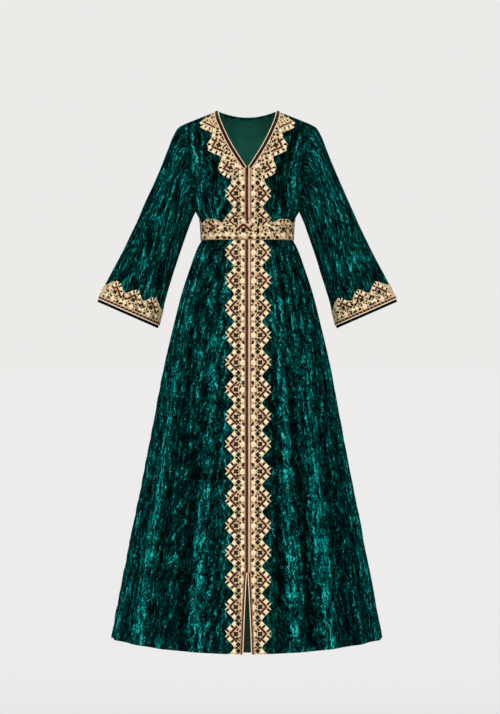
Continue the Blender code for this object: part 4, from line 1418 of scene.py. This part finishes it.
# %% Stitch the long bands
NECK_FANS = [
    {"flower": (2.6, 31), "apex": (11, 51), "size": 0.9, "feet": listed("40 30.5"),
     "bars": listed("3.5 54, 17.5 61, 27 53, 36 45"),
     "dots": listed("""
        21.5 16.5 5.6 cream, 11 40 2.4 green, 17.5 34 2.2 burgundy, 24 28.5 2.3 green, 10 24 2.6 green
        3 17.5 2.8 burgundy, 12 15 2 green, 30.5 20.5 2.6 green, 34 27 1.8 burgundy
        33 13.6 2.6 burgundy, 41 18 3 green, 47 25.5 3.2 green, 46.5 36.5 4.6 cream, 50 15 4.6 cream
        52.5 31 2.4 green
    """)},
    {"flower": (88.8, 43.8), "apex": (84.8, 61.8), "size": 1, "feet": listed("69 39.5, 110 40.8"),
     "bars": listed("67.6 51, 74 67, 90.4 69, 104.4 59.4, 115.6 49.2"),
     "dots": listed("""
        92 24.6 7 cream, 92 24.6 1.2 rose, 78 35 2.8 green, 101 36 2.8 burgundy, 84 31.6 2.4 green
        98.5 29.5 2.4 green, 76.5 44.6 2.2 burgundy, 80 20.5 3 burgundy, 75 24.5 2.6 green
        104 22 3 burgundy, 108.5 28.5 2.8 green, 65 25.5 3.4 green, 60.5 35 3.4 green, 58 44 4.4 cream
        60.5 15.5 5 cream, 69.5 16 2.4 khaki, 117.5 36 3.4 green, 115 22 4.8 cream, 122 42 3 cream
        124 30 2.6 green
    """)},
    {"flower": (171, 45.7), "apex": (169.5, 64.3), "size": 1, "feet": listed("143 41.6, 191 48.8"),
     "bars": listed("139.6 53.6, 153.8 70, 188.6 69.4, 201.5 58, 208.4 46"),
     "dots": listed("""
        169 25.6 7.2 cream, 169 25.6 1.2 rose, 157.5 37.5 2.7 green, 183 35.5 2.6 burgundy
        155 47 2.2 burgundy, 160.5 32 2.2 green, 178.5 30.5 2.4 green, 187 42 2.4 green
        151 26 3 burgundy, 145 31.5 2.7 green, 184.5 24.5 3.2 burgundy, 192 31 3 green
        133.5 38 3.3 green, 127.5 47 4.4 cream, 134 20.5 5 cream, 143.5 18 2.6 green, 156 14.6 2.2 rose
        170 13.6 2.4 khaki, 183 14.4 2.4 burgundy, 193 19 4.6 cream, 200 35 3 green
        206.5 27.5 3.4 green, 213.5 34 3 green, 203.5 14 2.6 green, 212 18 4.4 cream
    """)},
]
# cords along the V: how far from the edge of the opening, radius and thread
V_CORDS = listed("0.9 1.1 cream, 3.3 1.4 burgundy, 6.1 1.6 green, 8.9 1.5 burgundy, 11.5 1 cream")


def closure_cords(threads, side, line, edge=0.0):
    """The cords that hide the join of the two fronts, or run down beside the slit."""
    if np.max(edge) > 0:
        cords = "1.2 1.3 cream, 4.3 1.6 burgundy, 7.4 1.5 rose"
    elif side < 0:
        cords = "2.2 2.1 burgundy, 6 1.3 khaki"
    else:
        # the sunk dark green cord next to the join is a painted shadow of the gap between the fronts
        cords = "1.6 1.3 green, 4.7 1.5 cream, 8.6 1.7 rose"
    for out, radius, thread in listed(cords):
        threads.cord(line, edge + out, radius, thread, lift=-0.3 if thread == "green" else 0.0)


for side, label in SIDE_NAME.items():
    threads = Threads(SKIRT_PLACE[side])
    for turn in range(16):
        threads.motif(turn * PITCH, (skirt_start, skirt_end), SIDE_SHIFT[side], slit_out)
    slit_start = FIRST_TIP_Z - SLIT_TOP_Z
    closure_cords(threads, side, np.arange(skirt_start, slit_start + 1, 6.0))
    line = np.append(np.arange(slit_start, skirt_end, 6.0), skirt_end)
    closure_cords(threads, side, line, slit_out(line))
    threads.make(f"front_embroidery_{label}")

    threads = Threads(NECK_PLACE[side])
    for row in NECK_FANS:
        threads.fan(row, lambda along: opening_out(along, side))
    for middle in CLOSURE_MIDDLES:
        threads.motif(middle, (217.0, NECK_END), SIDE_SHIFT[side])
    line = np.arange(0.5, V_LENGTH + 4.5, 4.0)
    edge = opening_out(line, side)
    for out, radius, thread in V_CORDS:
        threads.cord(line, edge + out, radius, thread)
    # small dark stitches beside the cords
    for spot, along in enumerate(np.arange(12.0, V_LENGTH - 6, 8.6)):
        thread = ("green", "burgundy", "green", "rose")[spot % 4]
        small = Pad(0, 0, 2.2, 1.9, 30 * spot, 2, thread, 0.9)
        threads.pad(along, float(opening_out(along, side)) + (15.2, 17.6)[spot % 2], small)
    closure_cords(threads, side, np.arange(V_LENGTH + 6, NECK_END, 6.0))
    # a dark stitch closes the tip of the V
    threads.bar((V_LENGTH + 6, 0.8), (V_LENGTH + 24, 0.8), "green", 1.1, lift=0.9)
    threads.make(f"neck_embroidery_{label}")

# %% [markdown]
# ## Waistband
# The same ribbon laid on its side, scallops upwards, goes all round the waist. Over the closure the lower
# ends of the neck bands' last motifs run down across it, with one chevron a little left of the middle.
# Everything here is measured along the band from the middle of the front, and up from its lower edge. A
# place x on the front is turned to a distance round the band first, since the band bends away at the
# sides, and dots there are drawn longer to look round from the front.

# %% Waistband tables
WAIST_MOTIF = pads("""
    both 10.2 36.3 14.4 3.2 -43 8 burgundy 1, both 19.6 27 2.8 3.2 0 2 burgundy 1.1
    0 14.6 7 6.6 0 2 cream 1.1, 0 14.6 1.1 1.1 0 2 rose 1.4, both 13.4 9.6 8 1.2 45 6 rose 0.9
    both 7.6 53.4 3.6 2.1 55 8 green 1, both 20.2 39.4 4 2.1 45 8 burgundy 1
    both 13.9 47 4.4 4.6 45 7 cream 1, both 26.4 32.4 4.6 4.6 45 7 cream 1
    both 9.4 20.8 2.3 2.3 0 2 green 0.9, both 10.6 29.4 2 1.8 0 2 rose 0.9
    both 20.4 18.4 2.6 2.4 0 2 green 0.9, both 19.6 6 4.8 3.6 0 1.4 green 1
""")
WAIST_FILL = pads("""
    0 40.5 2.4 2.4 0 2 burgundy 1, 0 14 6.4 6.2 0 2 cream 1, both 7.4 20.5 2.5 2.2 0 2 green 0.9
""")
WAIST_FRONT_PADS = pads("""
    12.7 38.3 4 2.1 45 8 green 1, -31 40 3.6 2.6 -45 3 burgundy 1, 29 24 3.4 7.6 0 1.6 green 1
    22 22.5 2.2 2.6 0 2 green 0.9, 38.6 22 2.6 2.6 0 2 burgundy 1, 51 26.6 4.4 2.2 45 8 burgundy 1
    49.6 15 3.2 3.2 0 2 green 0.9, 44 34 3 2 -45 5 green 1, 67 41 2.8 2.8 0 2 burgundy 1
    56 42 5.2 5.2 0 2 cream 1, 30 39.6 3.4 1.8 60 3 green 1, 42 12 5.2 5 0 2 cream 1
    20 11 5.4 5 0 2 cream 1, 60 18 4.6 4.6 0 2 cream 1, -53.7 24.6 2.4 2.4 0 2 burgundy 1
    -40.6 25 2.5 4 0 2 green 1, -48 29.6 2.8 3.4 0 2 green 1, -56.6 14.6 7 6.6 0 2 cream 1.1
    -39 13 5.4 5.2 0 2 cream 1, -74 13 5.2 5 0 2 cream 1, -70 35.4 5.8 5.4 0 2 cream 1
    -66 22 2.6 2.4 0 2 green 0.9, -46 38 3.4 2 45 6 green 1, 73 16 2.8 2.6 0 2 green 0.9
    4 50 4.6 4.4 45 7 cream 1, -22 47 4.4 4.2 45 7 cream 1
""")
WAIST_FRONT_PADS += [Pad(x, 5.2, 4.8, 3.6, 0, 1.4, "green", 1.0) for x in (-63, -49, 7, 29, 44, 58)]
# the two scallops beside them are wider, and their chevrons are not alike; a bar runs from x, up to x, up,
# and then come its thread and half its width
WAIST_SIDE_BARS = listed("""
    -105.5 50 -89 34 burgundy 3.2, -105.5 47.5 -119 29.5 rose 1.7, 98.5 47 81.5 27 rose 1.8
    98.5 47 116 27 rose 1.8, -109 20 -101 9 rose 1.5, -90 20 -98 9 rose 1.5, 86 19 94 8 rose 1.5
    111 19 103 8 rose 1.5, -110.5 51.5 -112.5 47 green 2.7, -93.5 53.5 -90.5 49.5 green 2.7
    -100.5 56 -99 53 green 2.5, -78.5 40.5 -82.5 36.5 burgundy 3.2, -121.5 41 -118.5 37 burgundy 3.2
    88 50.5 91 54.5 green 2.7, 107 54.5 110 50.5 green 2.7, 98 56 99.5 53 green 2.5
    77.5 37 80.5 41 green 2.5, 115 41 118 37 green 2.5
""")
# dots at x, up, with their radius and thread
WAIST_SIDE_DOTS = listed("""
    -80.5 27.5 3.1 burgundy, -118 27.5 3.1 burgundy, 81 26 3.1 burgundy, 116.5 26.5 3.1 burgundy
    -99.7 12.5 6 cream, 99 12.5 6 cream, -108 33 2.2 green, -91.5 30.5 2.2 green, -105.5 22.5 2.2 green
    -88 21.5 2.4 green, -113 20 2.4 green, 92 22 2.2 green, 105.5 22 2.2 green, 90.5 32.5 1.9 green
    107 33 1.9 green, 68.5 43 2.6 burgundy, -84 46 4.4 cream, -116 46.5 4.2 cream, 83.5 46 4.4 cream
    113 46 4.2 cream, -73 33 4.6 cream, 73 33 4.6 cream, -82 6.5 3.7 green, -117 6.5 3.7 green
    82 6.5 3.7 green, 116 6.5 3.7 green, -85 14 3.8 cream, 86 13 3.8 cream, -70.5 24 2 green
    -76 18.5 1.8 burgundy, -106.5 15 1.8 burgundy, -112.5 34 1.9 burgundy, -88 40.5 1.7 green
    -69 8.5 2.2 green, -62.5 42.5 2.2 green, -55 38.5 2 burgundy, 72.5 25.5 2 green
    77.5 19 1.8 burgundy, 107.5 15.5 1.8 burgundy, 113.5 32.5 1.9 burgundy, 86 38.5 1.7 green
    104.5 40.5 1.6 green, 75 10 2.2 green, 61.5 33 2.2 green, -124 33 2.4 green, 123.5 32 2.4 green
    124 20 2.4 green, -124.5 18 2.4 green
""")
# the closure's cords end on the waistband's upper edge: x, thread and half width; the dark green one carries
# on the painted shadow of the join
WAIST_CORD_ENDS = listed("-2.2 burgundy 2, 1.6 green 1.3, 4.9 khaki 1.5, 8.6 rose 1.6")
# the neck bands' last motifs hang down over the waistband: dots along, out, with radius and thread
HANGING_BARS = ((0.0, 50.3), (11.0, 39.0)), ((0.0, 50.3), (-5.0, 45.5))
HANGING_DOTS = listed("""
    -5 20.5 2.4 green, 5.5 21.5 2.6 green, 1 14 5.6 cream, 8.5 28.5 2.4 green, 1 58 2.4 green
    7 55 2.6 green, 10 48 4.4 cream
""")
print(len(WAIST_SIDE_BARS), "bars and", len(WAIST_SIDE_DOTS), "dots beside the front of the waistband")

# %% [markdown]
# ### Stitching the waistband
# Round the back every scallop carries the same motif and a small flower stands between two of them. The
# front is stitched from its own tables, so that it follows the closure.


# %% Stitch the waistband
def waist_along(x):
    """Distance round the waistband to a place x millimetres from the middle of the front."""
    fine = np.linspace(-175, 175, 1401)
    return float(np.interp(x, waist_ring(WAIST_ANGLE(fine), WAIST_LEVEL)[..., 0], fine))


threads = Threads(WAIST_PLACE, BAND_HIGH + WAIST_EXTRA)
fine = np.linspace(-WAIST_ROUND / 2, WAIST_ROUND / 2, 1441)
middles = [float(fine[np.argmin(np.abs(turned(WAIST_ANGLE(fine), peak)))]) for peak in WAIST_PEAKS if peak]
for middle in middles[1:-1]:
    for pad in WAIST_MOTIF:
        threads.pad(middle + pad.along, pad.out, pad)
    threads.flower(middle, 28.6)
around = sorted(middle % WAIST_ROUND for middle in middles)
for a, b in zip(around[:-1], around[1:]):
    threads.flower((a + b) / 2, 28.0, 0.75)
    for pad in WAIST_FILL:
        threads.pad((a + b) / 2 + pad.along, pad.out, pad)
middle = waist_along(-10.3)
for pad in WAIST_MOTIF:
    if pad.out < 45 and (pad.thread != "cream" or pad.out < 20):
        threads.pad(middle + pad.along, pad.out - 2.4, pad)
threads.flower(middle, 27.0)
for x, up in ((-60.0, 29.4), (67.0, 28.0)):
    threads.flower(waist_along(x), up, 0.8)
for pad in WAIST_FRONT_PADS:
    threads.pad(waist_along(pad.along), pad.out, pad)
for x0, up0, x1, up1, thread, wide in WAIST_SIDE_BARS:
    threads.bar((waist_along(x0), up0), (waist_along(x1), up1), thread, wide)
for x, up, radius, thread in WAIST_SIDE_DOTS:
    threads.dot(waist_along(x), up, radius, thread, long=radius / (1 - (x / 140) ** 2) ** 0.5)
for x, thread, wide in WAIST_CORD_ENDS:
    threads.bar((x, 51.0), (x, 59.3), thread, wide)
# a small dark knot
threads.pad(1.5, 47.8, Pad(0, 0, 3.6, 2.2, 0, 2, "green", 2.0))
for x in (-99.7, 98.5):
    threads.flower(waist_along(x), 29.0, 1.0, 1.1)
last = BAND_PEAK_Z - BAND_BOTTOM_Z + NECK_END - CLOSURE_MIDDLES[-1]
for side, shift in SIDE_SHIFT.items():
    for ends in HANGING_BARS:
        threads.bar(*[(waist_along(side * (out + shift)), last - a) for a, out in ends], "burgundy", 2.4)
    threads.flower(waist_along(side * (33.0 + shift)), last)
    for a, out, radius, thread in HANGING_DOTS:
        threads.dot(waist_along(side * (out + shift)), last - a, radius, thread)
threads.cord(np.arange(0, WAIST_ROUND, 6.0), 0.9, 1.2, "rose", closed=True)
threads.make("waist_embroidery")

# %% [markdown]
# ## Cuffs
# Each cuff carries the ribbon upright, with a burgundy rope between two cream cords along its lower edge
# and a few millimetres of plain velvet below them. Each scallop has the same fan of stitches, mirrored so
# that it looks the same way on both arms; every other chevron has its long arm outwards and not inwards.

# %% Stitch the cuffs
CUFF_FAN = {
    "flower": (0.5, 42.4), "apex": (-0.5, 57.4), "size": 0.9,
    "bars": listed("-14.2 53.9, -6.6 64.3, 1.4 69.2, 9 63.6, 17.6 50.6"),
    "dots": listed("""
        1.8 22.4 6.4 cream, 1.8 22.4 1.1 rose, -13.2 20.6 3 green, 18.2 19.4 3 green, -5.6 28.4 2.6 green
        11.6 33.6 2.2 green, 8.6 27.4 2.2 burgundy, 16 38 2.4 burgundy, -10.4 33.6 2.2 burgundy
        -10 42 1.8 green, -20.6 26 5.2 cream, 27 26.4 5.2 cream, 23 35.6 3 green, 28.8 41.2 2.8 green
        -21.6 37.2 2.8 green, 10 17.4 2.6 burgundy, -6.4 17 2.4 rose, 26.6 16 2.8 green, -29 39 2.6 green
        -28.4 30.4 2.2 burgundy, -30.5 19 2.8 green, -32 47 2.2 green, -14.6 28 1.7 burgundy
        20.4 24.6 2 burgundy, 4.4 33 1.5 green, 15.4 26.4 1.7 green, 32.6 33 2 burgundy
        33.4 20.6 2.3 green, -17.4 13.6 1.9 burgundy, 3.4 13.8 1.7 green, -25 16.6 2.2 khaki
        23 45 3.6 cream, -21 46.4 3.6 cream
    """),
}
CUFF_FEET = ([(-17.0, 38.0), (8.5, 46.0)], [(-9.0, 49.0), (20.0, 38.4)])  # of the even and the odd scallops
CUFF_NUDGE = {-1: 0.12, 1: -0.05}  # how far the motifs beside the front one lie off their scallops' middles
CUFF_LIFT = 2.5  # how far a fan lies above its table's heights


def cuff_fan(centre, scale, turn):
    """The cuff's fan moved along to its scallop, and scaled along the cuff; a minus sign mirrors it."""
    row = dict(CUFF_FAN, feet=CUFF_FEET[turn % 2])
    for key, value in row.items():
        if key != "size":
            spots = [value] if key in ("flower", "apex") else value
            spots = [(centre + scale * spot[0], spot[1] + CUFF_LIFT, *spot[2:]) for spot in spots]
            row[key] = spots[0] if key in ("flower", "apex") else spots
    return row


for side, label in SIDE_NAME.items():
    threads, whole = Threads(CUFF_PLACE[side]), CUFF_ROUND[side]
    for turn in range(-3, 5):
        centre, pitch = cuff_along(turn + CUFF_NUDGE.get(turn, 0), whole, side), (0.74, 1.0)[abs(turn) < 2]
        threads.fan(cuff_fan(centre, -CUFF_LEAN[side] * pitch, turn))
    line = np.arange(0, whole, 4.0)
    threads.cord(line, CUFF_EDGE + 1.2, 1.5, "cream", closed=True)
    count = int(whole / 2.8) // 4 * 4  # of strands, so that their colours come out even
    threads.rope(np.arange(count) * whole / count, CUFF_EDGE + 5.2, 7.6)
    threads.cord(line, CUFF_EDGE + 9.6, 0.9, "cream", closed=True)
    threads.make(f"cuff_embroidery_{label}")

# %% [markdown]
# ## Cloth sheets
# Every panel is a sheet of cloth, so its flat cut is printed: across it at its
# widest, down it at its longest, and the share of that rectangle that the cut piece fills.

# %% Flat cuts
for name, (piece, grid, loop) in PANELS.items():
    across, down = measured(grid, loop)
    if loop:
        steps, last_step = np.diff(grid, axis=1), grid[:, 0] - grid[:, -1]
        round_it = np.linalg.norm(steps, axis=-1).sum(axis=1) + np.linalg.norm(last_step, axis=-1)
        width = float(round_it.max())
    else:
        width = float((across[:, -1] - across[:, 0]).max())
    length = float(down[-1].max())
    area = sheet_area(grid, loop)
    share = area / (width * length * MM * MM)
    print(f"{name}: {width:.0f} x {length:.0f} mm, {share:.2f} of it")

# %% [markdown]
# ## Room
# The garment hangs in a plain pale room. Broad soft light comes from everywhere, with a little more from
# above and in front, so that the pile glows along its folds and no hard shadow falls. The camera stands
# far off with a long lens, so that the near and the far side of the garment look equally large.

# %% Floor, light and camera
FLOOR_BELOW_HEM = 0.26
DISTANCE, VIEW_HEIGHT, SENSOR = 16.0, 1.9992, 36.0  # of the camera, in metres, and its sensor in mm

mesh = bpy.data.meshes.new("floor")
reach = 400.0
floor_corners = [(-reach, -reach, 0), (reach, -reach, 0), (reach, reach, 0), (-reach, reach, 0)]
mesh.from_pydata(floor_corners, [], [(0, 1, 2, 3)])
floor = bpy.data.objects.new("floor", mesh)
bpy.context.scene.collection.objects.link(floor)
floor.location.z = HEM_BACK_Z * MM - FLOOR_BELOW_HEM
paint, tree, shader = blank("matt_pale_floor")
feed(tree, shader, Base_Color=(0.747, 0.742, 0.725, 1.0), Roughness=0.95, Specular_IOR_Level=0.0)
mesh.materials.append(paint)

world = bpy.data.worlds.new("pale_room")
bpy.context.scene.world = world
world.use_nodes = True
tree = world.node_tree
tree.nodes.clear()
path = add(tree, "LightPath")
seen = add(tree, "Background", i0=linear("#ecebe9"), i1=1.0)
light = add(tree, "Background", i0=(0.98, 0.985, 1.0, 1.0), i1=0.6)
choose = add(tree, "MixShader", i0=path.outputs["Is Camera Ray"], i1=light.outputs[0], i2=seen.outputs[0])
add(tree, "OutputWorld", Surface=choose.outputs[0])

for label, turn, energy, spread in (
    ("upper_left", (42, -28, 0), 1.1, 50),
    ("upper_right", (48, 30, 0), 0.9, 50),
    ("behind", (-40, 10, 0), 0.6, 60),
):
    lamp = bpy.data.lights.new(label, "SUN")
    lamp.energy = energy
    lamp.angle = math.radians(spread)
    sun = bpy.data.objects.new(label, lamp)
    sun.rotation_euler = [math.radians(v) for v in turn]
    bpy.context.scene.collection.objects.link(sun)

lens = bpy.data.cameras.new("camera")
lens.sensor_fit = "VERTICAL"
lens.sensor_height = SENSOR
lens.lens = SENSOR * DISTANCE / VIEW_HEIGHT
lens.clip_end = 1000.0
camera = bpy.data.objects.new("camera", lens)
camera.location = (0.0076, -DISTANCE, -0.6888)
camera.rotation_euler = (math.radians(90), 0, 0)
bpy.context.scene.collection.objects.link(camera)
bpy.context.scene.camera = camera
bpy.context.scene.view_settings.view_transform = "Standard"
